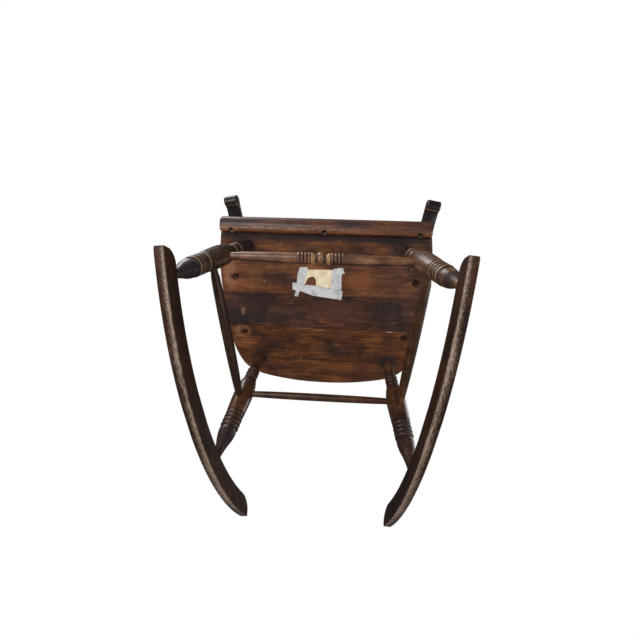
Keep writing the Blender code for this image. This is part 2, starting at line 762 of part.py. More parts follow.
def make_front_roll():
    """The rounded strip along the seat's front edge, screwed on from below at a slant."""
    nose = arc_points((ROLL_FRONT_Y + 0.024, 0.003), (0.024, SEAT_THICK - 0.003), 90, 180, 7)
    chin = arc_points((ROLL_RIDGE_Y + 0.004, 0.003), (ROLL_RIDGE_Y + 0.004 - ROLL_FRONT_Y, 0.003 + ROLL_DROP),
                      180, 250, 4)
    outline = [Vector((-GAP, SEAT_THICK)), *nose, *chin[1:], Vector((ROLL_RIDGE_Y + 0.004, -ROLL_DROP)),
               Vector((ROLL_REAR_Y, -ROLL_DROP)), Vector((-GAP - 0.0015, -0.006)), Vector((-GAP, 0.0))]
    made = outline_solid("seat_front_roll", outline, 2 * ROLL_HALF)
    stand = Matrix((Vector((0, 1, 0)), UP, Vector((1, 0, 0)))).transposed().to_4x4()
    made.matrix_world = stand
    pockets = []
    for x in ROLL_SCREW_XS:
        mouth = ROLL_SCREW_MOUTH + Vector((x, 0, 0))
        pockets.append((mouth - ROLL_SCREW_RUN * 0.010, mouth + ROLL_SCREW_RUN * 0.009, ROLL_POCKET_R))
    boolean(made, rods("roll_pockets", pockets, 14), "DIFFERENCE")
    boolean(made, rods("roll_screw_holes", roll_screw_bores(0.034, SCREW_SHANK_R), 10), "DIFFERENCE")
    return as_part(made, "frame")


def screw_profile(length):
    """A countersunk wood screw, head first: head's flat, its cone, the shank and the point."""
    return [(SCREW_HEAD_R, 0.0), (SCREW_HEAD_R, 0.0008), (SCREW_SHANK_R, 0.0032),
            (SCREW_SHANK_R, length - 0.004), (0.0006, length)]


def make_screw(name, spot, run, length, slot_turn):
    """A slotted wood screw with its head at spot, driven along run."""
    made = turned(name, [(r, -z) for r, z in screw_profile(length)], 10)
    made.matrix_world = axis_frame(spot, -run)
    across = Vector((0.01, 0.0006, 0.0009))
    slot = block(name + "_slot", -across, across)
    slot.matrix_world = axis_frame(spot, run, slot_turn)
    boolean(made, slot, "DIFFERENCE")
    return as_part(made, "steel")


def make_label():
    """The old paper label on the underside: blank, with its torn corner left open."""
    made = outline_solid("paper_label", LABEL_OUTLINE, SHEET_THICK)
    made.matrix_world = Matrix.Translation((0, 0, -GAP - SHEET_THICK / 2))
    return as_part(made, "paper")


def make_tape():
    """Strips of old masking tape that hold the label, each one layer below the last."""
    for layer, (name, strip) in enumerate(TAPE_STRIPS.items()):
        made = outline_solid(name, strip, SHEET_THICK)
        below = GAP + (layer + 1) * (SHEET_THICK + GAP) + SHEET_THICK / 2
        made.matrix_world = Matrix.Translation((0, 0, -below))
        as_part(made, "tape")


# ---- Arms and their posts -----------------------------------------------------------------
def arm_outline():
    """The arm's side view: along it from the front, and height. The front end curls down into a scroll."""
    length = ARM_RUN.length
    r = ARM_SCROLL_R
    base = arm_underside(0.05)
    centre = (r, base + 0.0065)
    scroll = arc_points(centre, (r, r), 150, 330, 9)
    cove = [Vector((r + 0.022, base))]
    under = [Vector((a, arm_underside(a))) for a in (length * k / 12 for k in range(2, 13))]
    over = [Vector((p.x, p.y + arm_thickness(p.x))) for p in reversed(under)]
    brow = [Vector((r + 0.026, base + ARM_THICK + 0.0025)), Vector((r + 0.002, base + ARM_THICK - 0.0005))]
    return [*scroll, *cove, *under, *over, *brow]


def arm_thickness(along):
    """The arm thins a little towards the rear."""
    return ARM_THICK - 0.003 * along / ARM_RUN.length


def arm_plan():
    """The arm's outline from above: narrow at the scroll, widest at the elbow, narrow at the rear."""
    length = ARM_RUN.length
    front, elbow, rear = ARM_WIDTHS
    side = smooth_line([(-0.01, front / 2), (0.05, front / 2), (0.17, elbow / 2), (0.26, elbow / 2),
                        (0.36, 0.019), (length + 0.01, rear / 2)], 4)
    return side + [Vector((p.x, -p.y)) for p in reversed(side)]


def arm_place(side):
    """The matrix that stands the arm's side view (X along it, Y up) over its centre line."""
    forward = Vector((-sin(ARM_TURN) * side, cos(ARM_TURN), 0))
    frame = Matrix((forward, UP, forward.cross(UP))).transposed().to_4x4()
    return Matrix.Translation((ARM_FRONT.x * side, ARM_FRONT.y, 0)) @ frame


def arm_rear_tenon(side):
    """The round tenon at the arm's rear end, which goes into the back post's front."""
    length = ARM_RUN.length
    height = arm_underside(length) + arm_thickness(length) / 2
    place = arm_place(side)
    start = place @ Vector((length - 0.012, height, 0))
    line = back_line(BACK_POST_BASE[0] * side, BACK_POST_BASE[1], 60)
    target = min(line, key=lambda p: abs(p.z - height))
    run = (target - start).normalized()
    return start, target - run * 0.003


def arm_coping(side):
    """The stretch of the back post that the arm's rear end is hollowed to fit, as (start, end, radius)."""
    line = back_line(BACK_POST_BASE[0] * side, BACK_POST_BASE[1], 30)
    return line[9], line[13], socket_radius(BACK_POST_R + 0.0018, 24)


def make_arm(name, side):
    made = outline_solid(name, arm_outline(), 0.08)
    made.matrix_world = arm_place(side)
    plan = outline_solid(name + "_plan", arm_plan(), 0.12)
    lay = Matrix(((1, 0, 0, 0), (0, 0, 1, 0), (0, -1, 0, 0), (0, 0, 0, 1)))
    plan.matrix_world = arm_place(side) @ Matrix.Translation((0, ARM_UNDERSIDE, 0)) @ lay
    boolean(made, as_cutter(plan), "INTERSECT")
    bevel(made, 0.0035, 1, radians(50))
    boolean(made, rods(name + "_coping", [arm_coping(side)], 24), "DIFFERENCE")
    boolean(made, rods(name + "_tenon", [(*arm_rear_tenon(side), ARM_TENON_R)], 12), "UNION")
    sockets = []
    for index in (0, 1):
        base, top = arm_post_line(index)
        run = (top - base).normalized()
        sockets.append((mirrored(top - run * 0.006, side), mirrored(top + run * (0.012 + GAP), side),
                        socket_radius(ARM_POST_TOP_R, 12)))
    boolean(made, rods(name + "_sockets", sockets, 12), "DIFFERENCE")
    shade_round(made)
    return as_part(made, "frame")


def arm_post_profile(length):
    """Radius against height above the seat, for one turned arm post."""
    upper_beads = [(r, length - z) for r, z in beads(0.028, 0.0075, 3, 0.0122, 0.0132, 0.0016)]
    return [
        (ARM_POST_TOP_R, length + 0.012), (ARM_POST_TOP_R, length - 0.004), (0.0115, length - 0.018),
        (0.0100, length - 0.026), *upper_beads,
        (0.0128, length - 0.056), (0.0142, length * 0.55), (0.0120, length * 0.36),
        *[(r, z) for r, z in reversed(beads(0.040, 0.0075, 3, 0.0128, 0.0122, 0.0016))],
        (0.0118, 0.036), (0.0126, 0.026), (0.0108, 0.010), (ARM_POST_BOTTOM_R, 0.002),
        (ARM_POST_BOTTOM_R, -ARM_POST_TENON),
    ]


def make_arm_post(name, index, side):
    base, top = arm_post_line(index)
    base, top = mirrored(base, side), mirrored(top, side)
    made = turned(name, arm_post_profile((top - base).length), POST_STEPS)
    made.matrix_world = axis_frame(base, top - base)
    spot = mirrored(arm_screw_spot(index), side)
    pilot = [(spot + UP * 0.010, spot + UP * (COUNTERBORE_DEEP + 0.0225), socket_radius(SCREW_SHANK_R, 10))]
    boolean(made, rods(name + "_pilot", pilot, 10), "DIFFERENCE")
    return as_part(made, "turned")


def make_arm_screws():
    for label, side in (("left", 1), ("right", -1)):
        for index, place in enumerate(("front", "rear")):
            spot = mirrored(arm_screw_spot(index), side) + UP * (COUNTERBORE_DEEP - 0.0036)
            make_screw(f"arm_post_screw_{place}_{label}", spot, UP, 0.026, 0.7 + index + side)


def make_roll_screws():
    for label, x in zip(("right", "middle", "left"), ROLL_SCREW_XS):
        spot = ROLL_SCREW_MOUTH + Vector((x, 0, 0)) + ROLL_SCREW_RUN * 0.0054
        make_screw("roll_screw_" + label, spot, ROLL_SCREW_RUN, 0.036, 9 * x)


# ---- Back ---------------------------------------------------------------------------------
def bent_rod(name, line, radii, sides):
    """A round rod along a bent axis, with its own radius at each point."""
    curve = bpy.data.curves.new(name, "CURVE")
    curve.dimensions = "3D"
    curve.bevel_depth = 1.0
    curve.bevel_resolution = max(1, sides // 2 - 2)
    curve.use_fill_caps = True
    spline = curve.splines.new("POLY")
    spline.points.add(len(line) - 1)
    for target, spot, radius in zip(spline.points, line, radii):
        target.co = (*spot, 1)
        target.radius = radius
    made = mesh_object(name, curve)
    return to_mesh(made)


def back_post_radius(share):
    """The back post's radius at a share of its length: full at the arm, slim under the crest."""
    if share < 0.05:
        return BACK_POST_R
    if share < 0.40:
        return BACK_POST_R + 0.0022 * sin(pi * (share - 0.05) / 0.35)
    fall = min(1.0, (share - 0.40) / 0.54)
    return BACK_POST_R - (BACK_POST_R - 0.0076) * fall


def make_back_post(name, x, y):
    count = 24
    line = back_line(x, y, count)
    made = bent_rod(name, line, [back_post_radius(k / count) for k in range(count + 1)], 12)
    start, end = arm_rear_tenon(1 if x > 0 else -1)
    run = (end - start).normalized()
    boolean(made, rods(name + "_socket", [(start, end + run * GAP, socket_radius(ARM_TENON_R, 12))], 12),
            "DIFFERENCE")
    shade_round(made)
    return as_part(made, "turned")


def make_spindle(name, x, y):
    count = 10
    swell = SPINDLE_R - SPINDLE_END_R
    radii = [SPINDLE_END_R + swell * sin(pi * k / count) ** 0.8 for k in range(count + 1)]
    made = bent_rod(name, back_line(x, y, count), radii, SPINDLE_SIDES)
    shade_round(made)
    return as_part(made, "turned")


def crest_top(x):
    """The crest's height at this distance from its middle: a raised centre, an ogee step and round ears."""
    away = abs(x) / CREST_HALF
    centre = 0.118 - 0.012 * (away / 0.5) ** 2
    step = 0.5 * (1 + cos(pi * min(1.0, max(0.0, (away - 0.48) / 0.20))))
    ear = 0.082
    height = ear + (centre - ear) * step if away > 0.48 else centre
    if away > 0.86:
        turn = (away - 0.86) / 0.14
        height = 0.040 + (height - 0.040) * (max(0.0, 1 - turn * turn)) ** 0.5
    return height


def crest_bottom(x):
    """The crest's lower edge: level under the spindles, sweeping up into the ears."""
    away = abs(x) / CREST_HALF
    lift = max(0.0, (away - 0.84) / 0.16)
    return 0.040 * (1 - (max(0.0, 1 - lift * lift)) ** 0.5)


def make_crest():
    columns, rows = 28, 3
    shell = bmesh.new()
    grid = bmesh.ops.create_grid(shell, x_segments=columns, y_segments=rows, size=1.0)["verts"]
    for spot in grid:
        u, v = spot.co.x, (spot.co.y + 1) / 2
        x = CREST_HALF * sin(u * pi / 2 * 0.93) / sin(pi / 2 * 0.93)
        low, high = crest_bottom(x), max(crest_top(x), crest_bottom(x) + 0.004)
        place = (CREST_BASE + Vector((x, 0, 0)) - CREST_BACK * crest_bow(x)
                 + CREST_UP * (low + (high - low) * v))
        spot.co = place
    mesh = bpy.data.meshes.new("crest_rail")
    shell.to_mesh(mesh)
    shell.free()
    made = mesh_object("crest_rail", mesh)
    solid = made.modifiers.new("thickness", "SOLIDIFY")
    solid.thickness = CREST_THICK
    solid.offset = 0.0
    bevel(made, 0.004, 2, radians(50))
    sockets = []
    for line, radius in crest_tenons():
        run = (line[-1] - line[-3]).normalized()
        start = line[-1] - run * (CREST_TENON + 0.008)
        sockets.append((start, line[-1] + run * GAP * 2, socket_radius(radius, 12)))
    boolean(made, rods("crest_sockets", sockets, 12), "DIFFERENCE")
    shade_round(made)
    return as_part(made, "frame")


def crest_tenons():
    found = [(back_line(x, y, 30), 0.0076) for _, x, y in back_post_sides()]
    return found + [(back_line(x, y, 30), SPINDLE_END_R + 0.0006) for _, x, y in spindle_feet()]


# ---- Assembly -----------------------------------------------------------------------------
def stand_on_floor():
    """Leans the chair back to its balance, and puts the origin under the middle of its outer box."""
    CHAIR.rotation_euler = (-REST_LEAN, 0, 0)
    bpy.context.view_layer.update()
    graph = bpy.context.evaluated_depsgraph_get()
    low, high = Vector((9, 9, 9)), Vector((-9, -9, -9))
    for made in PARTS.objects:
        if made.type != "MESH":
            continue
        seen = made.evaluated_get(graph)
        for vertex in seen.data.vertices:
            spot = seen.matrix_world @ vertex.co
            low = Vector(map(min, low, spot))
            high = Vector(map(max, high, spot))
    CHAIR.location = (-(low.x + high.x) / 2, -(low.y + high.y) / 2, -low.z)
    bpy.context.view_layer.update()


def build():
    for label, side in (("left", 1), ("right", -1)):
        make_rocker("rocker_" + label, side)
        make_leg("front_leg_" + label, "front_leg", side)
        make_leg("rear_leg_" + label, "rear_leg", side)
        make_arm("arm_" + label, side)
        make_arm_post("arm_post_front_" + label, 0, side)
        make_arm_post("arm_post_rear_" + label, 1, side)
    for name in STRETCHERS:
        make_stretcher(name)
    make_seat()
    make_front_roll()
    make_arm_screws()
    make_roll_screws()
    make_pins()
    make_label()
    make_tape()
    for name, x, y in back_post_sides():
        make_back_post(name, x, y)
    for name, x, y in spindle_feet():
        make_spindle(name, x, y)
    make_crest()
    stand_on_floor()


build()
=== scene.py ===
"""A worn rocking chair with a rolled plank seat, seen from below: its wood, paint, label and light."""

import json
from math import atan2, ceil, cos, pi, radians, sin, tan

import bmesh
import bpy
from mathutils import Matrix, Vector, noise


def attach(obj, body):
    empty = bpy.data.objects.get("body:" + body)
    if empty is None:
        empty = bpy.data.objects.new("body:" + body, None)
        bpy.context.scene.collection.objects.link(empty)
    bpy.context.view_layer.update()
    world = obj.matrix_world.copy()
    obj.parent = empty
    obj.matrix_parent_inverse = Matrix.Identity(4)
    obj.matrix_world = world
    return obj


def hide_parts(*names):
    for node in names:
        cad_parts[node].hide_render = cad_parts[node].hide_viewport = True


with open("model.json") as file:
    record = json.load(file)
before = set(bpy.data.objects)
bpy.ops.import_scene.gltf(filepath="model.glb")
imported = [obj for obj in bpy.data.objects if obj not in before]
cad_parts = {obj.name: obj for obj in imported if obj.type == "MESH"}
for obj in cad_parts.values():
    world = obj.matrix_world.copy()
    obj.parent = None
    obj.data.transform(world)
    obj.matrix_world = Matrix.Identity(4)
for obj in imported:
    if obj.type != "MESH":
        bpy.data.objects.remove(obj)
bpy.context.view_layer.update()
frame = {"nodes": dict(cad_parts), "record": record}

# ---- The seat's own frame: +X the sitter's left, -Y the front, +Z up, z = 0 on the seat's underside
UNDER = next(m for m in frame["record"]["mounts"] if m["name"] == "seat_underside")
LEAN = atan2(-UNDER["axis"][1], -UNDER["axis"][2])
UNDER_SPOT = Vector((0, 0.200, 0))
SEAT = (Matrix.Translation(UNDER["pos_m"]) @ Matrix.Rotation(-LEAN, 4, "X")
        @ Matrix.Translation(-UNDER_SPOT))
UP = Vector((0, 0, 1))

# ---- Dimensions, the same as the CAD's or close to them ----
SEAT_THICK = 0.033
SEAT_FRONT_HALF = 0.245
SEAT_CENTRE = Vector((0, 0.200))
SEAT_EDGE_ROUND = 0.0045
BOARD_HALF_GAP = 0.00015
COUNTERBORE_R = 0.0095
ROLL_HALF = 0.2415
ROLL_END = ((0.0, 0.92), (0.0006, 0.965), (0.002, 0.99), (0.004, 1.0))      # distance in, and section's size
ROLL_SCREW_XS = (-0.2145, 0.0, 0.2145)
ROLL_SCREW_SLANT = radians(24)
ROLL_POCKET_R = 0.0060
BOARD_JOINTS = (0.062, 0.153, 0.243, 0.340)
ROCKER_RADIUS = 0.8046
ROCKER_CENTRE = (0.2383, 0.438)
ROCKER_DEPTH = 0.0447
ROCKER_THICK = 0.019
REST_FLAT = radians(5.6)
ROCKER_TIPS = (radians(-21.9), radians(31.8))
FRONT_END_ROUND = (0.031, 0.036)
REAR_END_ROUND = (0.058, 0.041)
FRONT_LEG = (Vector((0.182, 0.029, 0)), Vector((0.2490, 0.0002)))
REAR_LEG = (Vector((0.170, 0.338, 0)), Vector((0.2062, 0.4043)))
LEG_BEAD_PITCH = 0.0112
LOWER_BEADS_AT = {"front_leg": 0.1005, "rear_leg": 0.1175}      # up from the foot
# The bulb below them: radius, and height above the foot as a share of the bulb's length
LEG_BULB = ((0.0178, 1.0), (0.0188, 0.95), (0.0193, 0.86), (0.0173, 0.65), (0.0134, 0.44), (0.0105, 0.24))
FRONT_STRETCHER_AT = 0.1266
REAR_STRETCHER_AT = 0.1330
SIDE_STRETCHER_AT = (0.1630, 0.1575)
STRETCHER_END_R = 0.0075
SIDE_STRETCHER_R = (0.0090, 0.0113)     # just outside the legs, and in the middle
REAR_STRETCHER_R = (0.0078, 0.0092)
ARM_POST_BASES = ((0.2225, 0.110), (0.2080, 0.263))
ARM_POST_TOP_YS = (0.096, 0.250)
ARM_FRONT = Vector((0.286, -0.0355))
ARM_REAR_Y = 0.3715
ARM_UNDERSIDE = 0.240
ARM_THICK = 0.021
ARM_WIDTHS = (0.038, 0.047, 0.030)
ARM_STEPS = 44          # sections along the arm
SCROLL_STEPS = 33       # and round the scroll at its front
POST_BEAD_PITCH = 0.0076
BACK_POST_BASE = (0.205, 0.336)
BACK_POST_R = 0.0135
BACK_TOP_SPREAD = 1.20
SPINDLE_XS = (-0.156, -0.105, -0.053, 0.0, 0.053, 0.105, 0.156)
SPINDLE_INSET = 0.026
SPINDLE_R = 0.0068
SPINDLE_END_R = 0.0052
# Beads on the back's rods: the rod's length, how far they stand out, and their places as shares of it
POST_BEADS = (0.69, 0.0007, (0.105, 0.118, 0.131, 0.455, 0.468, 0.481))
SPINDLE_BEADS = (0.67, 0.00084, (0.395, 0.41, 0.425))
ROD_BEAD_HALF = 0.0032
CREST_BASE = Vector((0, 0.570, 0.632))
CREST_RAKE = radians(23)
CREST_CURVE_RADIUS = 0.95
CREST_HALF = 0.290
CREST_THICK = 0.022
CREST_TENON = 0.020
SIDES = (("left", 1), ("right", -1))
CRISP_ANGLE = radians(38)       # sharper edges than this keep a crisp line


# ---- Materials ----
class Nodes:
    """A node tree, filled one call at a time. An input is a number, a colour or another node's output."""

    def __init__(self, owner):
        owner.use_nodes = True
        self.tree = owner.node_tree
        self.tree.nodes.clear()

    def add(self, kind, inputs=(), **settings):
        made = self.tree.nodes.new("ShaderNode" + kind)
        for key, value in settings.items():
            setattr(made, key, value)
        for key, value in dict(inputs).items():
            if isinstance(value, bpy.types.NodeSocket):
                self.tree.links.new(value, made.inputs[key])
            else:
                made.inputs[key].default_value = value
        return made


class Shader(Nodes):
    """A material in the making. Its textures stay in the piece's own frame."""

    def __init__(self, name):
        self.material = bpy.data.materials.new(name)
        super().__init__(self.material)
        spot = self.add("TexCoord").outputs["Object"]
        self.spot = self.add("Mapping", {"Vector": spot}, name="own_frame").outputs[0]

    def place(self, scale=(1, 1, 1), shift=(0, 0, 0)):
        """The point on the piece in metres, stretched along the grain."""
        return self.add("Mapping", {"Vector": self.spot, "Scale": scale, "Location": shift}).outputs[0]

    def noise(self, spot, scale, detail=4.0, rough=0.55, bend=0.0):
        return self.add("TexNoise", {"Vector": spot, "Scale": scale, "Detail": detail,
                                     "Roughness": rough, "Distortion": bend}).outputs["Fac"]

    def span(self, value, low, high, to_low=0.0, to_high=1.0):
        """Value's place between low and high, as a clamped share of the way to_low to to_high."""
        return self.add("MapRange", {"Value": value, "From Min": low, "From Max": high,
                                     "To Min": to_low, "To Max": to_high}).outputs["Result"]

    def sum(self, operation, a, b):
        return self.add("Math", {0: a, 1: b}, operation=operation).outputs[0]

    def total(self, *terms):
        """The sum of values, each given with its weight."""
        parts = [value if weight == 1 else self.sum("MULTIPLY", value, weight) for value, weight in terms]
        found = parts[0]
        for part in parts[1:]:
            found = self.sum("ADD", found, part)
        return found

    def uneven(self, value, noise_value, middle, amount):
        """Value made patchy: plus the noise's distance from its middle, times amount."""
        return self.total((value, 1), (self.sum("SUBTRACT", noise_value, middle), amount))

    def mix(self, share, a, b):
        made = self.add("Mix", {"Factor": share}, data_type="RGBA")
        for socket, value in ((made.inputs[6], a), (made.inputs[7], b)):
            if isinstance(value, bpy.types.NodeSocket):
                self.tree.links.new(value, socket)
            else:
                socket.default_value = (*value, 1.0)
        return made.outputs[2]

    def ramp(self, share, stops):
        made = self.add("ValToRGB", {"Fac": share})
        band = made.color_ramp
        for k, (at, colour) in enumerate(stops):
            stop = band.elements[k] if k < 2 else band.elements.new(at)
            stop.position = at
            stop.color = (*colour, 1.0)
        return made.outputs["Color"]

    def painted(self, name):
        """A number stored on the mesh's points, such as how worn each one is."""
        return self.add("Attribute", attribute_name=name).outputs["Fac"]

    def finish(self, colour, roughness, height, depth, **constants):
        bump = self.add("Bump", {"Height": height, "Distance": depth, "Strength": 1.0})
        inputs = {"Base Color": colour, "Roughness": roughness, "Normal": bump.outputs[0]}
        inputs.update({key.replace("_", " "): value for key, value in constants.items()})
        self.add("OutputMaterial", {"Surface": self.add("BsdfPrincipled", inputs).outputs[0]})
        return self.material


GRAINS = {"X": (1, 9, 9), "Y": (9, 1, 9), "Z": (9, 9, 1)}
PALE_WOOD = (0.36, 0.25, 0.18)
NICKED_WOOD = (0.30, 0.17, 0.10)
GOLD_PAINT = (0.36, 0.20, 0.080)
# The dark tone that both grime and painted shade are mixed towards.
GRIME_AND_SHADE = (0.020, 0.0105, 0.0115)
JOINT_DIRT = (0.012, 0.007, 0.005)


def scaled(colour, *factors):
    """A colour times one factor, or times one for each channel."""
    return tuple(c * f for c, f in zip(colour, factors if len(factors) == 3 else factors * 3))


def wood(name, tones, grain, seed, stain, gloss, nicks=0.0, bare=PALE_WOOD, dirt_and_shade=None, speckle=0.5,
         coat=0.22, marks=()):
    """Old varnished wood: streaked grain, dark stains, worn bare edges, rubbed gold paint and small nicks."""
    s = Shader(name)
    shift = (seed * 1.7, seed * 2.3, seed * 3.1)
    flow = s.place(GRAINS[grain], shift)
    plain = s.place(shift=shift)
    streak = s.noise(flow, 16, 5, 0.6, 0.5)
    fibre = s.noise(flow, 75, 6, 0.7, 0.2)
    pore = s.noise(flow, 160, 2, 0.5)
    cloud = s.noise(plain, 13, 4, 0.6, 0.3)
    speck = s.noise(plain, 240, 3, 0.6)
    mottle = s.noise(s.place((0.35, 1, 1), shift), 30, 4, 0.65, 0.4)
    grainy = s.total((streak, 0.36), (fibre, 0.36), (mottle, 0.28))
    colour = s.ramp(s.span(grainy, 0.38, 0.63), [(0.0, tones[0]), (1.0, tones[2]), (0.5, tones[1])])
    pits = s.span(pore, 0.60, 0.70)
    colour = s.mix(s.sum("MULTIPLY", pits, 0.35), colour, scaled(tones[0], 0.35))
    stained = s.span(cloud, 0.44, 0.66, 0.0, stain)
    colour = s.mix(stained, colour, scaled(tones[0], 0.50, 0.50, 0.62))
    for middle_x, middle_y, wide, deep, tone, share in marks:
        near = s.place((1 / wide, 1 / deep, 0), (-middle_x / wide, -middle_y / deep, 0))
        away = s.add("VectorMath", {0: near}, operation="LENGTH").outputs["Value"]
        colour = s.mix(s.span(s.uneven(away, fibre, 0.5, 1.4), 0.75, 1.25, share, 0), colour, tone)
    if dirt_and_shade:
        low, high = dirt_and_shade
        across = s.add("SeparateXYZ", {"Vector": s.place()}).outputs["Y"]
        near = s.sum("MAXIMUM", s.span(across, low, low + 0.0035, 1, 0), s.span(across, high - 0.0035, high))
        colour = s.mix(s.sum("MULTIPLY", near, 0.55), colour, JOINT_DIRT)
    # The stored darkening, grime on some parts and painted shade on others, pulls the colour towards that
    # dark tone.
    grime_and_shade = s.painted("grime_and_shade")
    colour = s.mix(s.span(s.uneven(grime_and_shade, cloud, 0.5, 0.9), 0.22, 0.85, 0, 0.88), colour, GRIME_AND_SHADE)
    bits = s.total((fibre, 1.2 - speckle), (speck, speckle))
    rubbed = s.uneven(s.painted("wear"), bits, 0.6, 1.5)
    colour = s.mix(s.span(rubbed, 0.16, 0.50, 0, 0.65), colour, scaled(bare, 0.24))
    worn = s.span(rubbed, 0.42, 0.78)
    colour = s.mix(worn, colour, s.mix(fibre, scaled(bare, 0.55), bare))
    gilt = s.span(s.uneven(s.painted("gold"), bits, 0.6, 1.2), 0.50, 0.80)
    colour = s.mix(gilt, colour, GOLD_PAINT)
    if nicks:
        knocks = s.noise(s.place((2.4, 1, 1), shift), 95, 2, 0.5, 0.6)
        colour = s.mix(s.span(knocks, 0.715, 0.76, 0, nicks), colour, NICKED_WOOD)
    rough = s.total((s.span(cloud, 0.3, 0.7, *gloss), 1), (worn, 0.28), (grime_and_shade, 0.20))
    hollows = s.sum("MULTIPLY", s.sum("ADD", pits, worn), 0.35)
    height = s.sum("SUBTRACT", s.total((fibre, 0.6), (streak, 0.4)), hollows)
    return s.finish(colour, rough, height, 0.0006, Coat_Weight=coat, Coat_Roughness=0.18,
                    Specular_IOR_Level=0.08 + coat, Metallic=s.sum("MULTIPLY", gilt, 0.30))


# Three tones for each wood: in its dark grain, its middle and its light grain
RED_BROWN = ((0.014, 0.005, 0.0025), (0.052, 0.019, 0.0070), (0.140, 0.060, 0.023))
OLIVE_BROWN = ((0.011, 0.006, 0.0035), (0.038, 0.020, 0.0105), (0.105, 0.058, 0.031))
# A lighter copy of the front legs' wood: painted highlight for the front leg that catches more light.
HIGHLIT_BROWN = ((0.030, 0.013, 0.0065), (0.105, 0.050, 0.0250), (0.230, 0.125, 0.068))
WARM_BROWN = ((0.040, 0.015, 0.0070), (0.142, 0.060, 0.0280), (0.300, 0.150, 0.080))
NEAR_BLACK = ((0.004, 0.003, 0.003), (0.009, 0.005, 0.005), (0.032, 0.013, 0.008))
DARK_RED = ((0.010, 0.004, 0.0025), (0.028, 0.010, 0.005), (0.065, 0.025, 0.011))
BOARD_TONES = (
    ((0.025, 0.0078, 0.0028), (0.087, 0.0275, 0.0080), (0.218, 0.080, 0.026)),
    ((0.034, 0.0100, 0.0032), (0.124, 0.0390, 0.0118), (0.300, 0.106, 0.037)),
    ((0.020, 0.0072, 0.0050), (0.062, 0.0200, 0.0105), (0.175, 0.061, 0.026)),
    ((0.024, 0.0068, 0.0016), (0.084, 0.0230, 0.0044), (0.220, 0.071, 0.015)),
    ((0.028, 0.0077, 0.0018), (0.095, 0.0260, 0.0052), (0.207, 0.066, 0.015)),
)
# Odd patches and scrapes: middle, half width, half depth, colour and strength, board by board
BOARD_MARKS = (
    (),
    ((0.083, 0.112, 0.032, 0.022, (0.200, 0.062, 0.014), 0.65),
     (-0.232, 0.100, 0.016, 0.040, (0.24, 0.10, 0.045), 0.6)),
    ((-0.207, 0.205, 0.005, 0.011, (0.34, 0.17, 0.070), 0.75),
     (-0.203, 0.197, 0.006, 0.004, (0.26, 0.13, 0.06), 0.6),
     (0.020, 0.190, 0.050, 0.030, (0.085, 0.030, 0.014), 0.6)),
    ((0.168, 0.2467, 0.010, 0.0013, (0.40, 0.26, 0.17), 0.8),
     (-0.010, 0.251, 0.016, 0.0011, (0.30, 0.17, 0.10), 0.6),
     (-0.213, 0.262, 0.020, 0.018, (0.22, 0.090, 0.035), 0.6)),
    ((0.060, 0.360, 0.030, 0.008, (0.15, 0.052, 0.016), 0.5),),
)
BOARD_STAINS = (0.65, 0.60, 0.85, 0.75, 0.55)


def paper_material():
    s = Shader("label_paper")
    spot = s.place()
    mottled = s.noise(spot, 60, 5, 0.6)
    fine = s.noise(spot, 900, 3, 0.6)
    colour = s.ramp(s.span(mottled, 0.3, 0.7), [(0.0, (0.52, 0.40, 0.23)), (1.0, (0.80, 0.71, 0.52)),
                                               (0.45, (0.70, 0.59, 0.39))])
    edge = s.span(s.painted("grime_and_shade"), 0.0, 1.0, 0, 0.6)
    colour = s.mix(edge, colour, (0.42, 0.32, 0.20))
    height = s.total((s.noise(spot, 110, 3, 0.6, 1.5), 1), (fine, 0.12))
    return s.finish(colour, 0.85, height, 0.0012)


def tape_material():
    s = Shader("masking_tape")
    spot = s.place()
    mottled = s.noise(spot, 45, 4, 0.6, 0.6)
    creases = s.noise(s.place((1, 4, 1)), 120, 4, 0.65, 1.2)
    colour = s.ramp(s.span(mottled, 0.32, 0.68), [(0.0, (0.40, 0.39, 0.38)), (1.0, (0.66, 0.66, 0.68)),
                                                 (0.55, (0.56, 0.56, 0.57))])
    colour = s.mix(s.span(creases, 0.56, 0.72, 0, 0.35), colour, (0.36, 0.33, 0.30))
    return s.finish(colour, 0.62, creases, 0.0016, Sheen_Weight=0.1)


def steel_material():
    s = Shader("old_steel")
    spot = s.place()
    rusty = s.noise(spot, 420, 4, 0.6)
    colour = s.ramp(s.span(rusty, 0.35, 0.68), [(0.0, (0.045, 0.038, 0.034)), (1.0, (0.100, 0.048, 0.026)),
                                               (0.6, (0.060, 0.044, 0.036))])
    return s.finish(colour, s.span(rusty, 0.3, 0.7, 0.38, 0.75), rusty, 0.0003, Metallic=0.75)


def floor_material():
    """Plain pale floor that shows only its upper side, so it never hides the chair's underside."""
    s = Shader("pale_floor")
    paper = s.add("BsdfPrincipled", {"Base Color": (0.60, 0.60, 0.595, 1), "Roughness": 0.85,
                                    "Emission Color": (1, 1, 1, 1), "Emission Strength": 0.34})
    clear = s.add("BsdfTransparent")
    side = s.add("NewGeometry").outputs["Backfacing"]
    either = s.add("MixShader", {0: side, 1: paper.outputs[0], 2: clear.outputs[0]})
    s.add("OutputMaterial", {"Surface": either.outputs[0]})
    return s.material


# ---- Mesh helpers ----
def mesh_of(shell, name):
    mesh = bpy.data.meshes.new(name)
    shell.to_mesh(mesh)
    shell.free()
    return mesh


def linked(name, data):
    made = bpy.data.objects.new(name, data)
    bpy.context.scene.collection.objects.link(made)
    return made


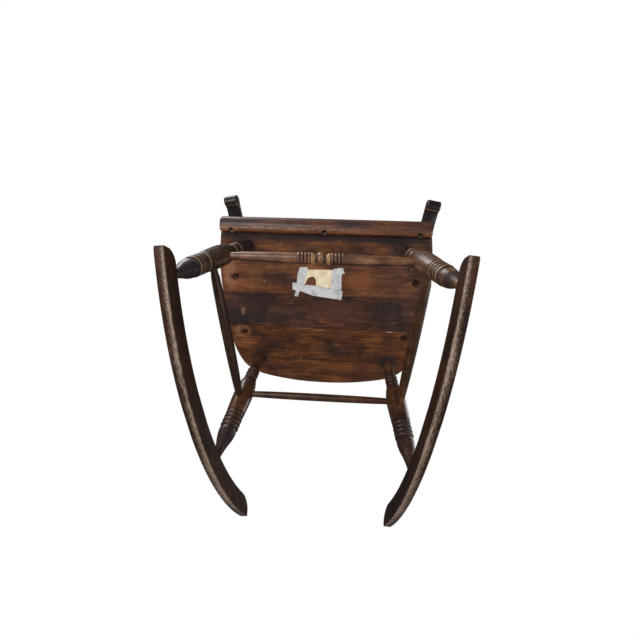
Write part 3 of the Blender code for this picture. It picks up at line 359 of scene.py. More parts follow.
def finish_piece(shell, name, material, place, stands_for):
    """Makes the piece from a bmesh in its own frame, and lets it ride with the chair."""
    bmesh.ops.recalc_face_normals(shell, faces=shell.faces)
    mesh = mesh_of(shell, name)
    stand = SEAT @ place
    mesh.transform(stand.to_3x3().to_4x4())
    own_frame = material.node_tree.nodes["own_frame"]
    own_frame.inputs["Rotation"].default_value = stand.to_3x3().inverted().to_euler()
    mesh.shade_smooth()
    mesh.set_sharp_from_angle(angle=CRISP_ANGLE)
    made = linked(name, mesh)
    made.matrix_world = Matrix.Translation(stand.translation)
    mesh.materials.append(material)
    bpy.context.view_layer.update()
    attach(made, "root")
    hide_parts(*stands_for)
    return made


def loft(rings, marks):
    """A closed skin over rings of points. Each mark has an amount for every point, or one for all."""
    shell = bmesh.new()
    layers = {key: shell.verts.layers.float.new(key) for key in ("wear", "grime_and_shade", "gold")}
    made = []
    for i, ring in enumerate(rings):
        row = [shell.verts.new(spot) for spot in ring]
        for key, amounts in marks.items():
            for j, vertex in enumerate(row):
                vertex[layers[key]] = amounts[i][j] if isinstance(amounts, list) else amounts
        made.append(row)
    count = len(rings[0])
    for low, high in zip(made, made[1:]):
        for j in range(count):
            shell.faces.new((low[j], low[(j + 1) % count], high[(j + 1) % count], high[j]))
    shell.faces.new(list(reversed(made[0])))
    shell.faces.new(made[-1])
    return shell


def smooth_line(points, steps):
    """A curve through the points, with that many steps between each two."""
    points = [Vector(p) for p in points]
    ends = [2 * points[0] - points[1], *points, 2 * points[-1] - points[-2]]
    line = []
    for i in range(1, len(ends) - 2):
        a, b, c, d = ends[i - 1: i + 3]
        for k in range(steps):
            t = k / steps
            line.append(0.5 * (2 * b + (c - a) * t + (2 * a - 5 * b + 4 * c - d) * t * t
                               + (3 * b - a - 3 * c + d) * t ** 3))
    return [*line, points[-1]]


def round_rect(width, height, radius, steps=5):
    """A rounded rectangle's points about its centre, anticlockwise from the right side's lower corner."""
    radius = min(radius, width / 2 - 1e-5, height / 2 - 1e-5)
    found = []
    for turn, (sx, sy) in enumerate(((1, -1), (1, 1), (-1, 1), (-1, -1))):
        centre = Vector((sx * (width / 2 - radius), sy * (height / 2 - radius)))
        for k in range(steps + 1):
            angle = -pi / 2 + turn * pi / 2 + pi / 2 * k / steps
            found.append(centre + Vector((cos(angle), sin(angle))) * radius)
    return found


def axis_frame(origin, direction):
    return Matrix.Translation(origin) @ Vector(direction).to_track_quat("Z", "Y").to_matrix().to_4x4()


def mirrored(point, side):
    return Vector((point[0] * side, point[1], point[2]))


def ease(value):
    """A share from 0 to 1 that starts and stops gently."""
    value = min(1.0, max(0.0, value))
    return value * value * (3 - 2 * value)


def hole_cutter(places, radius, depth, sides, hole_shade=0.0):
    """An object that cuts round holes, whose walls carry that much painted shade."""
    shell = bmesh.new()
    grime_and_shade = shell.verts.layers.float.new("grime_and_shade")
    for place in places:
        bmesh.ops.create_cone(shell, cap_ends=True, segments=sides, radius1=radius, radius2=radius,
                              depth=depth, matrix=place)
    for vertex in shell.verts:
        vertex[grime_and_shade] = hole_shade
    cutter = linked("holes", mesh_of(shell, "holes"))
    cutter.matrix_world = SEAT
    return cutter


def carve(piece, cutter):
    cut = piece.modifiers.new("holes", "BOOLEAN")
    cut.object = cutter
    cut.solver = "EXACT"
    bpy.context.view_layer.update()
    seen = piece.evaluated_get(bpy.context.evaluated_depsgraph_get())
    carved = bpy.data.meshes.new_from_object(seen)
    piece.modifiers.clear()
    piece.data = carved


def side_frame(middle, turn, side):
    """Stands a side view up at middle, turned inwards: its X runs rearwards, its Y up, its Z sideways."""
    forward = Vector((-sin(turn) * side, cos(turn), 0))
    return Matrix.Translation(middle) @ Matrix((forward, UP, forward.cross(UP))).transposed().to_4x4()


# ---- Turned pieces ----
def bead_row(start, pitch, count, crest, groove, golds):
    """Turned beads as (distance, radius, gold): sharp grooves between round crests, some of them painted."""
    found = []
    for k in range(count):
        for step in range(10):
            t = step / 10
            rise = sin(pi * t) ** 0.6 if t else 0.0
            gild = golds[k] if 0.35 < t < 0.65 else 0.0
            found.append((start + pitch * (k + t), groove + (crest - groove) * rise, gild))
    return [*found, (start + pitch * count, groove, 0.0)]


def run(points, steps=5, gold=0.0):
    """A smooth stretch of turning through (distance, radius) points."""
    return [(p.x, p.y, gold) for p in smooth_line(points, steps)]


def lathe(name, profile, start, direction, material, stands_for, around=56, grime_and_shade=(), shaded_rear=0.0):
    """A turned piece, darkened on given stretches (from, to, amount) and in its grooves, and by painted shade
    along the side facing the chair's rear.
    """
    frame_there = axis_frame(start, direction)
    rear = frame_there.to_3x3().transposed() @ Vector((0, 1, 0))
    turns = [2 * pi * k / around for k in range(around)]
    # Painted shade: the side facing the chair's rear is darkened as if turned away from the light.
    behind = [shaded_rear * ease((rear.x * cos(turn) + rear.y * sin(turn) - 0.05) / 0.70) for turn in turns]
    rings, gold, dirt_and_shade = [], [], []
    for k, (z, r, paint) in enumerate(profile):
        rings.append([(r * cos(turn), r * sin(turn), z) for turn in turns])
        gold.append([paint] * around)
        soil_and_shade = max([amount for low, high, amount in grime_and_shade if low <= z <= high], default=0.0)
        near = [other for place, other, _ in profile[max(0, k - 5): k + 6] if abs(place - z) < 0.004]
        soil_and_shade = max(soil_and_shade, min(0.95, 700 * (max(near) - r) * (len(near) > 4)))
        dirt_and_shade.append([max(soil_and_shade, amount) for amount in behind])
    return finish_piece(loft(rings, {"gold": gold, "grime_and_shade": dirt_and_shade}), name, material, frame_there, stands_for)


TOE_IN = atan2(FRONT_LEG[1].x - REAR_LEG[1].x, REAR_LEG[1].y - FRONT_LEG[1].y)


def rocker_top(y):
    along = (y - ROCKER_CENTRE[0]) / cos(TOE_IN)
    inner = ROCKER_RADIUS - ROCKER_DEPTH
    return ROCKER_CENTRE[1] - (inner ** 2 - along ** 2) ** 0.5


LEGS = {
    "front_leg": (FRONT_LEG[0], Vector((*FRONT_LEG[1], rocker_top(FRONT_LEG[1].y)))),
    "rear_leg": (REAR_LEG[0], Vector((*REAR_LEG[1], rocker_top(REAR_LEG[1].y)))),
}


def leg_profile(kind, length, golds):
    """A neck, three beads, a long swelling barrel, four beads, and a bulb that thins to the foot."""
    row, below = length - LOWER_BEADS_AT[kind], LOWER_BEADS_AT[kind] - 4 * LEG_BEAD_PITCH
    neck = run([(-0.020, 0.0122), (0.001, 0.0123), (0.008, 0.0130), (0.016, 0.0138), (0.022, 0.0134),
                (0.034, 0.0122), (0.046, 0.0122), (0.0530, 0.0130)])
    upper = bead_row(0.0535, LEG_BEAD_PITCH, 3, 0.0157, 0.0126, golds[:3])
    barrel = run([(0.0880, 0.0158), (0.095, 0.0182), (0.110, 0.0212), (0.135, 0.0233), (0.158, 0.0229),
                  (row - 0.0035, 0.0214), (row - 0.0007, 0.0200)], 8)
    lower = bead_row(row, LEG_BEAD_PITCH, 4, 0.0210, 0.0174, golds[3:])
    bulb = run([(length - below * share, r) for r, share in LEG_BULB]
               + [(length - 0.004, 0.0088), (length + 0.006, 0.0085)], 6)
    return [*neck, *upper, *barrel, *lower, *bulb]


def make_legs():
    for kind, (top, foot) in LEGS.items():
        front = kind == "front_leg"
        golds = (0.9, 0.3, 0.9, 0.8, 0.5, 0.6, 1.0) if front else (0.45, 0.3, 0.4, 0.5, 0.3, 0.3, 0.5)
        length = (foot - top).length
        bulb_from = length - LOWER_BEADS_AT[kind] + 0.0450
        for label, side in SIDES:
            # The front leg on the sitter's left gets the lighter tone as painted highlight; the other keeps
            # the olive brown.
            tones = (OLIVE_BROWN if side < 0 else HIGHLIT_BROWN) if front else RED_BROWN
            bulb_soil = (0.78 if side < 0 else 0.15) if front else 0.55
            # Painted shade darkens the neck where the leg meets the seat; the bulb's darkening is grime.
            soil_and_shade = ((-0.02, 0.050, 0.75 if front else 0.35), (bulb_from, length + 0.01, bulb_soil))
            material = wood(f"{kind}_{label}_wood", tones, "Z", 3 + side + len(kind), 0.6, (0.20, 0.40))
            lathe(f"turned_{kind}_{label}", leg_profile(kind, length, golds), mirrored(top, side),
                  mirrored(foot - top, side), material, [f"{kind}_{label}"], grime_and_shade=soil_and_shade,
                  shaded_rear=0.45 if front else 0.30)


def leg_point(kind, distance, side):
    top, foot = LEGS[kind]
    return mirrored(top + (foot - top).normalized() * distance, side)


def plain_dowel(length, end, middle):
    """A dowel that swells gently to its middle, with a thinner tenon at each end."""
    shares = (0.085, 0.2, 0.38, 0.62, 0.8, 0.915)
    rise = (0.0, 0.55, 0.94, 0.94, 0.55, 0.0)
    swell = [(length * s, end + (middle - end) * k) for s, k in zip(shares, rise)]
    tenon = [(0.0, STRETCHER_END_R, 0.0), (0.0228, STRETCHER_END_R, 0.0)]
    return tenon + run(swell, 8) + [(length - z, r, g) for z, r, g in reversed(tenon)]


def front_stretcher_profile(length):
    """Two swelling dowels, then four beads and a gilded cone on each side of a ball."""
    half = length / 2
    side = run([(0.0, STRETCHER_END_R), (0.024, 0.0086), (half - 0.160, 0.0098), (half - 0.105, 0.0108),
                (half - 0.052, 0.0115), (half - 0.0497, 0.0106)], 8)
    side += bead_row(half - 0.0495, 0.0073, 4, 0.0132, 0.0100, (0.0,) * 4)
    side += run([(half - 0.0202, 0.0112), (half - 0.0190, 0.0126), (half - 0.0165, 0.0120),
                 (half - 0.0135, 0.0098), (half - 0.0118, 0.0088)], 4, 0.75)
    side += run([(half - 0.0112, 0.0084), (half - 0.0098, 0.0086)], 2)
    turns = [radians(d) for d in range(-80, 81, 10)]
    ball = [(half + 0.0094 * sin(turn), 0.0070 + 0.0069 * cos(turn), 0.52) for turn in turns]
    other = [(length - z, r, paint) for z, r, paint in reversed(side)]
    return [*side, *ball, *other]


def make_stretchers():
    ends = {"front_stretcher": [leg_point("front_leg", FRONT_STRETCHER_AT, side) for side in (-1, 1)],
            "rear_stretcher": [leg_point("rear_leg", REAR_STRETCHER_AT, side) for side in (-1, 1)]}
    for label, side in SIDES:
        spots = [leg_point(leg, at, side) for leg, at in zip(LEGS, SIDE_STRETCHER_AT)]
        ends["side_stretcher_" + label] = spots
    for k, (name, (start, end)) in enumerate(ends.items()):
        way = (end - start).normalized()
        start, end = start + way * 0.008, end - way * 0.008
        length = (end - start).length
        if name == "front_stretcher":
            profile, tones = front_stretcher_profile(length), WARM_BROWN
        else:
            radii = REAR_STRETCHER_R if name == "rear_stretcher" else SIDE_STRETCHER_R
            profile = plain_dowel(length, *radii)
            tones = DARK_RED if name == "side_stretcher_right" else RED_BROWN
        material = wood(name + "_wood", tones, "Z", 11 + k, 0.5, (0.25, 0.45))
        lathe("turned_" + name, profile, start, way, material, [name], 40,
              shaded_rear=0.95 if name == "front_stretcher" else 0.60)


# ---- Rockers ----
def rocker_height(angle):
    """The rocker's depth at an angle about its centre: full, and rounded down to its tips."""
    inner = ROCKER_RADIUS - ROCKER_DEPTH
    ahead = (angle - ROCKER_TIPS[0]) * inner / FRONT_END_ROUND[0]
    behind = (ROCKER_TIPS[1] - angle) * inner / REAR_END_ROUND[0]
    loss = 0.0
    if ahead < 1:
        loss = FRONT_END_ROUND[1] * (1 - max(0.0, 1 - (1 - ahead) ** 2) ** 0.5)
    if behind < 1:
        loss = REAR_END_ROUND[1] * (1 - max(0.0, 1 - (1 - behind) ** 2) ** 0.5)
    return ROCKER_DEPTH - loss


def make_rockers():
    """Each rocker's bottom is rubbed bare, least along its outer edge and towards its tips."""
    cy, cz = ROCKER_CENTRE
    flat = ROCKER_RADIUS * cos(REST_FLAT / 2)
    smooth_radius = ROCKER_RADIUS * cos(radians(0.76))
    angles = [ROCKER_TIPS[0] + (ROCKER_TIPS[1] - ROCKER_TIPS[0]) * ease_ends(k / 180) for k in range(181)]
    for label, side in SIDES:
        rings, wear = [], []
        for number, angle in enumerate(angles):
            height = rocker_height(angle)
            bottom = min(smooth_radius, flat / max(0.5, cos(angle - LEAN)))
            squeeze = 0.90 if number in (0, 180) else 0.975 if number in (1, 179) else 1.0
            patch = noise.noise(Vector((angle * 9, side * 5.0, 0)))
            toe, heel = ease((-0.10 - angle) / 0.22), ease((angle - 0.34) / 0.20)
            ring, worn = [], []
            for across, up in round_rect(ROCKER_THICK * squeeze, height * squeeze, 0.0032):
                radius = bottom - height / 2 - up
                ring.append((cy + radius * sin(angle), cz - radius * cos(angle), across))
                outward = across * side / (ROCKER_THICK / 2)
                low = 1 - min(1.0, max(0.0, (up + height / 2) / 0.0035))
                dull = 0.56 * ease((outward + 0.55) / 0.60) * (1 - 0.50 * ease((angle - 0.05) / 0.30))
                ends = 0.30 * toe * ease(outward + 0.95) + 0.24 * heel
                worn.append(low * (0.70 + 0.16 * patch - dull - ends))
            rings.append(ring)
            wear.append(worn)
        middle = Vector(((FRONT_LEG[1].x - (cy - FRONT_LEG[1].y) * tan(TOE_IN)) * side, cy, 0))
        place = side_frame(middle, TOE_IN, side) @ Matrix.Translation((-cy, 0, 0))
        material = wood(f"rocker_{label}_wood", DARK_RED, "X", 21 + side, 0.45, (0.46, 0.62),
                        bare=(0.38, 0.27, 0.21), speckle=0.18, coat=0.04)
        shell = loft(rings, {"wear": wear})
        finish_piece(shell, "bent_rocker_" + label, material, place, ["rocker_" + label])


def ease_ends(share):
    """Even steps, drawn closer together near both ends."""
    return share - 0.12 * sin(2 * pi * share) / pi


# ---- Seat ----
SEAT_SIDE = ((SEAT_FRONT_HALF, 0.0), (0.2515, 0.045), (0.2555, 0.110), (0.2525, 0.190), (0.2465, 0.255),
             (0.2375, 0.306), (0.2190, 0.352), (0.1960, 0.378), (0.1600, 0.3945), (0.1000, 0.4065),
             (0.0500, 0.4120), (0.0, 0.4135))


def seat_outline():
    """The seat's edge from its front left corner round the back to its front right one, then the front."""
    half = smooth_line(SEAT_SIDE, 8)
    rear = half + [Vector((-p.x, p.y)) for p in reversed(half[:-1])]
    front = [Vector((SEAT_FRONT_HALF * (k / 12 - 1), 0.0)) for k in range(1, 24)]
    return rear + front


def seat_top(x, y):
    share = (x / 0.205) ** 2 + ((y - 0.195) / 0.150) ** 2
    return SEAT_THICK - 0.009 * max(0.0, 1 - share) ** 1.15


def seat_edge_y(x):
    half = [p for p in smooth_line(SEAT_SIDE, 8) if p.y > 0.30]
    return min(half, key=lambda p: abs(p.x - abs(x))).y


def arm_x(y):
    return ARM_FRONT.x - (y - ARM_FRONT.y) * tan(ARM_TURN)


ARM_RUN = Vector((BACK_POST_BASE[0] + 0.013 - ARM_FRONT.x, ARM_REAR_Y - ARM_FRONT.y))
ARM_TURN = atan2(-ARM_RUN.x, ARM_RUN.y)


def arm_underside(along):
    share = min(1.0, max(0.0, along / ARM_RUN.length))
    return ARM_UNDERSIDE + 0.0055 * cos(share * 2 * pi) - 0.003 * share


def arm_post_line(index):
    x, y = ARM_POST_BASES[index]
    top_y = ARM_POST_TOP_YS[index]
    along = (top_y - ARM_FRONT.y) / cos(ARM_TURN)
    return Vector((x, y, SEAT_THICK)), Vector((arm_x(top_y), top_y, arm_underside(along)))


def counterbore_spots():
    spots = []
    for index in (0, 1):
        base, top = arm_post_line(index)
        foot = base - (top - base).normalized() * 0.0165
        spots += [(foot.x, foot.y), (-foot.x, foot.y)]
    return spots


# Dark stains on the underside: middle, half width, half depth and strength
SEAT_STAINS = (
    (0.165, 0.036, 0.022, 0.016, 0.75), (-0.115, 0.108, 0.055, 0.030, 0.62),
    (-0.120, 0.200, 0.090, 0.040, 0.60), (0.165, 0.190, 0.050, 0.030, 0.50),
    (-0.120, 0.300, 0.040, 0.028, 0.50), (0.020, 0.305, 0.070, 0.024, 0.45),
    (-0.125, 0.375, 0.040, 0.028, 0.60), (0.070, 0.050, 0.060, 0.014, 0.40),
    (0.100, 0.120, 0.050, 0.016, 0.30),
)


def seat_grime_and_shade(x, y, z):
    """Darkening on the seat's underside: a band behind the front roll that is grime and the roll's painted
    shadow, painted shade round the leg sockets and the counterbores, and old stains.
    """
    if z > 0.004:
        return 0.0
    spots = 0.0
    for middle_x, middle_y, wide, deep, strength in SEAT_STAINS:
        away = (((x - middle_x) / wide) ** 2 + ((y - middle_y) / deep) ** 2) ** 0.5
        spots = max(spots, strength * (1 - ease(away - 0.35)))
    # Grime and the front roll's painted shadow, in a band just behind it.
    soil_and_shade = max(spots, 0.95 * (1 - ease((y - 0.009) / 0.014)))
    # Painted shade in rings round the leg sockets.
    for kind in LEGS.values():
        away = ((abs(x) - kind[0].x) ** 2 + (y - kind[0].y) ** 2) ** 0.5
        soil_and_shade = max(soil_and_shade, 0.85 * (1 - ease((away - 0.014) / 0.018)))
    # Painted shade round the counterbores' mouths.
    for base in ARM_POST_BASES:
        away = ((abs(x) - base[0]) ** 2 + (y - base[1]) ** 2) ** 0.5
        soil_and_shade = max(soil_and_shade, 0.90 * (1 - ease((away - COUNTERBORE_R) / 0.0050)))
    third_board = ease((y - 0.156) / 0.012) * (1 - ease((y - 0.225) / 0.020)) * ease((0.02 - x) / 0.15)
    second_board = ease((y - 0.058) / 0.008) * (1 - ease((y - 0.150) / 0.006)) * ease((x - 0.05) / 0.10)
    rear_sides = (1 - ease((0.255 - abs(x)) / 0.03)) * ease((y - 0.30) / 0.05)
    return max(soil_and_shade, 0.62 * third_board, 0.44 * second_board, 0.45 * rear_sides)


def seat_blank():
    """The whole plank: rings from its underside's centre out, round its edge, and back over its top."""
    outline = seat_outline()
    bevel = SEAT_EDGE_ROUND / 0.24      # as a share of the seat's half width

    def ring(scale, height):
        return [(*(SEAT_CENTRE + (p - SEAT_CENTRE) * scale), height) for p in outline]

    rings = [ring(max(0.012, k / 69) * (1 - bevel), 0.0) for k in range(70)]
    for turn in (pi / 2 * k / 5 for k in range(1, 6)):
        rings.append(ring(1 - bevel * (1 - sin(turn)), SEAT_EDGE_ROUND * 0.7 * (1 - cos(turn))))
    for turn in (pi / 2 * k / 5 for k in range(6)):
        rings.append(ring(1 - bevel * (1 - cos(turn)), SEAT_THICK - SEAT_EDGE_ROUND * (1 - sin(turn))))
    for k in range(29, -1, -1):
        rings.append([(x, y, seat_top(x, y)) for x, y, _ in ring(max(0.012, k / 29) * (1 - bevel), 0.0)])
    grime_and_shade = [[seat_grime_and_shade(*spot) for spot in spots] for spots in rings]
    wear = [[0.30 if z > SEAT_THICK - 0.003 and abs(x) > 0.24 else 0.05 for x, _, z in spots]
            for spots in rings]
    return loft(rings, {"wear": wear, "grime_and_shade": grime_and_shade})


def make_seat():
    """The seat's plank, parted along its glue joints into five boards."""
    blank = seat_blank()
    joints = (-0.01, *BOARD_JOINTS, 0.5)
    spots = [Matrix.Translation((x, y, -0.004)) for x, y in counterbore_spots()]
    # The counterbores' walls carry painted shade.
    cutter = hole_cutter(spots, COUNTERBORE_R, 0.030, 48, 0.85)
    for k in range(5):
        shell = blank.copy()
        for y, way in ((joints[k] + BOARD_HALF_GAP, -1), (joints[k + 1] - BOARD_HALF_GAP, 1)):
            everything = shell.verts[:] + shell.edges[:] + shell.faces[:]
            bmesh.ops.bisect_plane(shell, geom=everything, plane_co=(0, y, 0), plane_no=(0, way, 0),
                                   clear_outer=True)
            rim = [e for e in shell.edges if e.is_boundary]
            if rim:
                bmesh.ops.contextual_create(shell, geom=rim)
        material = wood(f"seat_board_{k + 1}_wood", BOARD_TONES[k], "X", 31.3 + k * 1.9, BOARD_STAINS[k],
                        (0.36, 0.58), 0.8, dirt_and_shade=(joints[k], joints[k + 1]), marks=BOARD_MARKS[k])
        board = finish_piece(shell, f"plank_board_{k + 1}", material, Matrix(), [f"seat_board_{k + 1}"])
        carve(board, cutter)
    blank.free()
    bpy.data.objects.remove(cutter)


def roll_outline():
    """The roll's section as (y, z): down its nose, round its chin, and up its rear face."""
    nose = [Vector((-0.0115 - 0.024 * sin(turn), SEAT_THICK - (SEAT_THICK - 0.003) * (1 - cos(turn))))
            for turn in (pi / 2 * k / 14 for k in range(15))]
    chin = [Vector((-0.014 - 0.0215 * cos(turn), 0.003 - 0.021 * sin(turn)))
            for turn in (radians(6 * k) for k in range(1, 15))]
    heel = smooth_line([(-0.0130, -0.0180), (-0.0110, -0.0180), (-0.0093, -0.0179), (-0.0084, -0.0168)], 2)
    rise = [(-0.0050, -0.0110), (-0.0018, -0.0058), (-0.0003, -0.0004), (-0.0003, 0.012), (-0.0003, 0.026),
            (-0.0012, SEAT_THICK)]
    return [*nose, *chin, *heel, *(Vector(p) for p in rise)]


def make_roll():
    """The rolled strip along the seat's front, dark on its nose and rubbed pale along its lower ridge."""
    outline = roll_outline()
    middle = sum(outline, Vector((0, 0))) / len(outline)
    end = [(inset - ROLL_HALF, scale) for inset, scale in ROLL_END]
    stations = [*end, *((-0.236 + 0.472 * k / 90, 1.0) for k in range(91))]
    stations += [(-x, scale) for x, scale in reversed(end)]
    rings, wear, grime_and_shade = [], [], []
    for x, scale in stations:
        ring, worn, dark = [], [], []
        for p in outline:
            wobble = noise.noise(Vector((x * 14, p.x * 60, 3.0)))
            ring.append((x, *(middle + (p - middle) * scale)))
            ridge = 1 - min(1.0, abs(p.x + 0.0170) / 0.0058) if p.y < -0.010 else 0.0
            worn.append(ridge * (0.66 - 0.26 * ease((x + 0.08) / 0.2)) + 0.18 * wobble)
            face = 0.76 - 0.22 * ease((x + 0.06) / 0.22) + 0.55 * noise.noise(Vector((x * 16, 7.0, p.y * 45)))
            front = ease((-0.0180 - p.x) / 0.0060) if p.y < -0.012 else 1.0
            # The nose face is darkened in streaks, most towards the left; the rear face's darkening is
            # painted shade.
            dark.append(max(0.10, face * front) if p.x < -0.012 else 0.25 if p.x > -0.007 else 0.10)
        rings.append(ring)
        wear.append(worn)
        grime_and_shade.append(dark)
    material = wood("front_roll_wood", BOARD_TONES[1], "X", 51, 0.45, (0.26, 0.45), 0.3)
    roll = finish_piece(loft(rings, {"wear": wear, "grime_and_shade": grime_and_shade}), "rolled_front", material, Matrix(),
                        ["seat_front_roll"])
    slant = Vector((0, sin(ROLL_SCREW_SLANT), cos(ROLL_SCREW_SLANT)))
    pockets = [axis_frame(Vector((x, -0.0095, -0.018)) - slant * 0.0005, slant) for x in ROLL_SCREW_XS]
    cutter = hole_cutter(pockets, ROLL_POCKET_R, 0.019, 40)
    carve(roll, cutter)
    bpy.data.objects.remove(cutter)


# ---- Label and tape ----
def torn(outline, seed, ragged=0.0007, step=0.0016):
    """A closed outline with its edges broken into small uneven tears."""
    found = []
    for k, start in enumerate(outline):
        start, end = Vector(start), Vector(outline[(k + 1) % len(outline)])
        count = max(1, ceil((end - start).length / step))
        across = Vector((start.y - end.y, end.x - start.x)).normalized()
        for j in range(count):
            spot = start.lerp(end, j / count)
            tear = noise.noise(Vector((spot.x * 420, spot.y * 420, seed)))
            found.append(spot + across * tear * ragged * (0 if j == 0 else 1))
    return found


def make_sheet(name, outline, level, material, stands_for, seed):
    """A thin torn sheet on the seat's underside, marked all along its edge."""
    shell = bmesh.new()
    edge = shell.verts.layers.float.new("grime_and_shade")
    lower = [shell.verts.new((*p, level)) for p in torn(outline, seed)]
    for vertex in lower:
        vertex[edge] = 1.0
    face = shell.faces.new(lower)
    bmesh.ops.inset_individual(shell, faces=[face], thickness=0.0011)
    for vertex in face.verts:
        vertex[edge] = 0.0
    bmesh.ops.triangulate(shell, faces=shell.faces[:])
    bmesh.ops.solidify(shell, geom=shell.faces[:], thickness=0.0002)
    finish_piece(shell, name, material, Matrix(), stands_for)


PAPER_OUTLINE = (
    (-0.0560, 0.0860), (0.0300, 0.0845), (0.0320, 0.1310), (-0.0196, 0.1327), (-0.0208, 0.1110),
    (-0.0260, 0.1035), (-0.0330, 0.1045), (-0.0400, 0.1075), (-0.0460, 0.1220), (-0.0570, 0.1270),
)
TAPES = {
    "tape_right": ((-0.0595, 0.0805), (-0.0406, 0.0798), (-0.0431, 0.1018), (-0.0512, 0.1208),
                   (-0.0591, 0.1362), (-0.0648, 0.1575), (-0.0747, 0.1560), (-0.0692, 0.1423),
                   (-0.0787, 0.1370), (-0.0776, 0.1199), (-0.0671, 0.1214), (-0.0650, 0.0990)),
    "tape_left": ((0.0213, 0.0819), (0.0444, 0.0778), (0.0490, 0.0921), (0.0415, 0.0949), (0.0425, 0.1358),
                  (0.0166, 0.1331), (0.0182, 0.0958)),
    "tape_rear": ((-0.0608, 0.1230), (-0.0249, 0.1265), (0.0454, 0.1375), (0.0427, 0.1618), (-0.0284, 0.1529),
                  (-0.0613, 0.1401)),
}


def make_label():
    make_sheet("torn_label", PAPER_OUTLINE, -0.0004, paper_material(), ["paper_label"], 2.0)
    tape = tape_material()
    for k, (name, outline) in enumerate(TAPES.items()):
        make_sheet("stuck_" + name, outline, -0.0008 - 0.0004 * k, tape, [name], 5.0 + k)


# ---- Arms, posts and back ----
def arm_post_profile(length):
    low = run([(-0.004, 0.0100), (0.002, 0.0101), (0.012, 0.0112), (0.026, 0.0127), (0.036, 0.0119)])
    middle = run([(0.0632, 0.0114), (length * 0.42, 0.0130), (length * 0.56, 0.0143),
                  (length - 0.062, 0.0131), (length - 0.0535, 0.0116)], 7)
    high = run([(length - 0.0275, 0.0102), (length - 0.018, 0.0115), (length - 0.004, 0.0088),
                (length + 0.008, 0.0085)], 5)
    return [*low, *bead_row(0.0395, POST_BEAD_PITCH, 3, 0.0131, 0.0108, (0.7, 0.3, 0.7)), *middle,
            *bead_row(length - 0.0515, POST_BEAD_PITCH, 3, 0.0134, 0.0108, (0.7, 0.3, 0.7)), *high]


def make_arm_posts():
    for label, side in SIDES:
        for index, place in enumerate(("front", "rear")):
            name = f"arm_post_{place}_{label}"
            base, top = (mirrored(p, side) for p in arm_post_line(index))
            material = wood(name + "_wood", RED_BROWN, "Z", 61 + index + 2 * side, 0.5, (0.24, 0.42))
            profile = arm_post_profile((top - base).length)
            lathe("turned_" + name, profile, base, top - base, material, [name], 44)


def arm_width(along):
    front, elbow, rear = ARM_WIDTHS
    points = ((0.0, front), (0.06, front), (0.17, elbow), (0.26, elbow - 0.002), (0.36, 0.038),
              (ARM_RUN.length, rear))
    for (a, wa), (b, wb) in zip(points, points[1:]):
        if along <= b:
            return wa + (wb - wa) * ease((along - a) / (b - a))
    return rear


def arm_stations():
    """The arm's side view, rear to front: (centre, direction's angle, thickness) down into its scroll."""
    length = ARM_RUN.length
    found = []
    for k in range(ARM_STEPS):
        along = length - (length - 0.034) * k / (ARM_STEPS - 1)
        thick = ARM_THICK - 0.003 * along / length
        slope = (arm_underside(along - 0.002) - arm_underside(along + 0.002)) / 0.004
        found.append((Vector((along, arm_underside(along) + thick / 2)), pi - atan2(slope, 1.0), thick))
    centre, outer = Vector((0.0165, 0.2498)), 0.0163
    for k in range(1, SCROLL_STEPS + 1):
        share = k / SCROLL_STEPS
        turn = radians(270) * share
        thick = 0.0200 * (1 - share) ** 1.5 + 0.0072
        shrink = outer * (1 - 0.16 * max(0.0, share - 0.35))
        spot = centre + Vector((-sin(turn), cos(turn))) * (shrink - thick / 2)
        found.append((spot, pi + turn, thick))
    return found


def make_arms():
    stations = arm_stations()
    for label, side in SIDES:
        rings, wear = [], []
        for number, (spot, heading, thick) in enumerate(stations):
            curled = (number + 1 - ARM_STEPS) / SCROLL_STEPS
            scroll = curled > 0
            width = ARM_WIDTHS[0] - 0.0016 * curled if scroll else arm_width(spot.x)
            upward = Vector((sin(heading), -cos(heading)))
            knock = 0.55 * (1 - min(1.0, abs(number - 69) / 2.5))
            ring, worn = [], []
            for across, up in round_rect(width, thick, 0.0035 if scroll else 0.0055):
                ring.append((*(spot + upward * up), across))
                rim = max(0.0, abs(across) / (width / 2) - 0.72) / 0.28
                elbow = ease(1 - abs(spot.x - 0.08) / 0.12) if up > 0 else 0.0
                worn.append(0.22 * rim + 0.22 * elbow + knock)
            rings.append(ring)
            wear.append(worn)
        place = side_frame((ARM_FRONT.x * side, ARM_FRONT.y, 0), ARM_TURN, side)
        material = wood(f"arm_{label}_wood", NEAR_BLACK, "X", 71 + side, 0.3, (0.20, 0.38),
                        bare=(0.19, 0.095, 0.05))
        shell = loft(rings, {"wear": wear, "grime_and_shade": 0.25})
        finish_piece(shell, "scroll_arm_" + label, material, place, ["arm_" + label])


CREST_UP = Vector((0, sin(CREST_RAKE), cos(CREST_RAKE)))
CREST_BACK = Vector((0, cos(CREST_RAKE), -sin(CREST_RAKE)))


def crest_bow(x):
    return CREST_CURVE_RADIUS - (CREST_CURVE_RADIUS ** 2 - x * x) ** 0.5


def back_line(x, y, count):
    """The bent line of a post or spindle, from its socket in the seat to its tenon in the crest."""
    start = Vector((x, y, SEAT_THICK - 0.020))
    top_x = x * BACK_TOP_SPREAD
    end = CREST_BASE + Vector((top_x, 0, 0)) - CREST_BACK * crest_bow(top_x) + CREST_UP * CREST_TENON
    reach = (end - start).length
    splay = (top_x - x) / reach
    leave = Vector((splay, 0.190, 1.0)).normalized() * reach
    arrive = (CREST_UP + Vector((splay, 0.02, 0))).normalized() * reach
    found = []
    for k in range(count + 1):
        t = k / count
        found.append(start * (2 * t ** 3 - 3 * t * t + 1) + leave * (t ** 3 - 2 * t * t + t)
                     + end * (3 * t * t - 2 * t ** 3) + arrive * (t ** 3 - t * t))
    return found


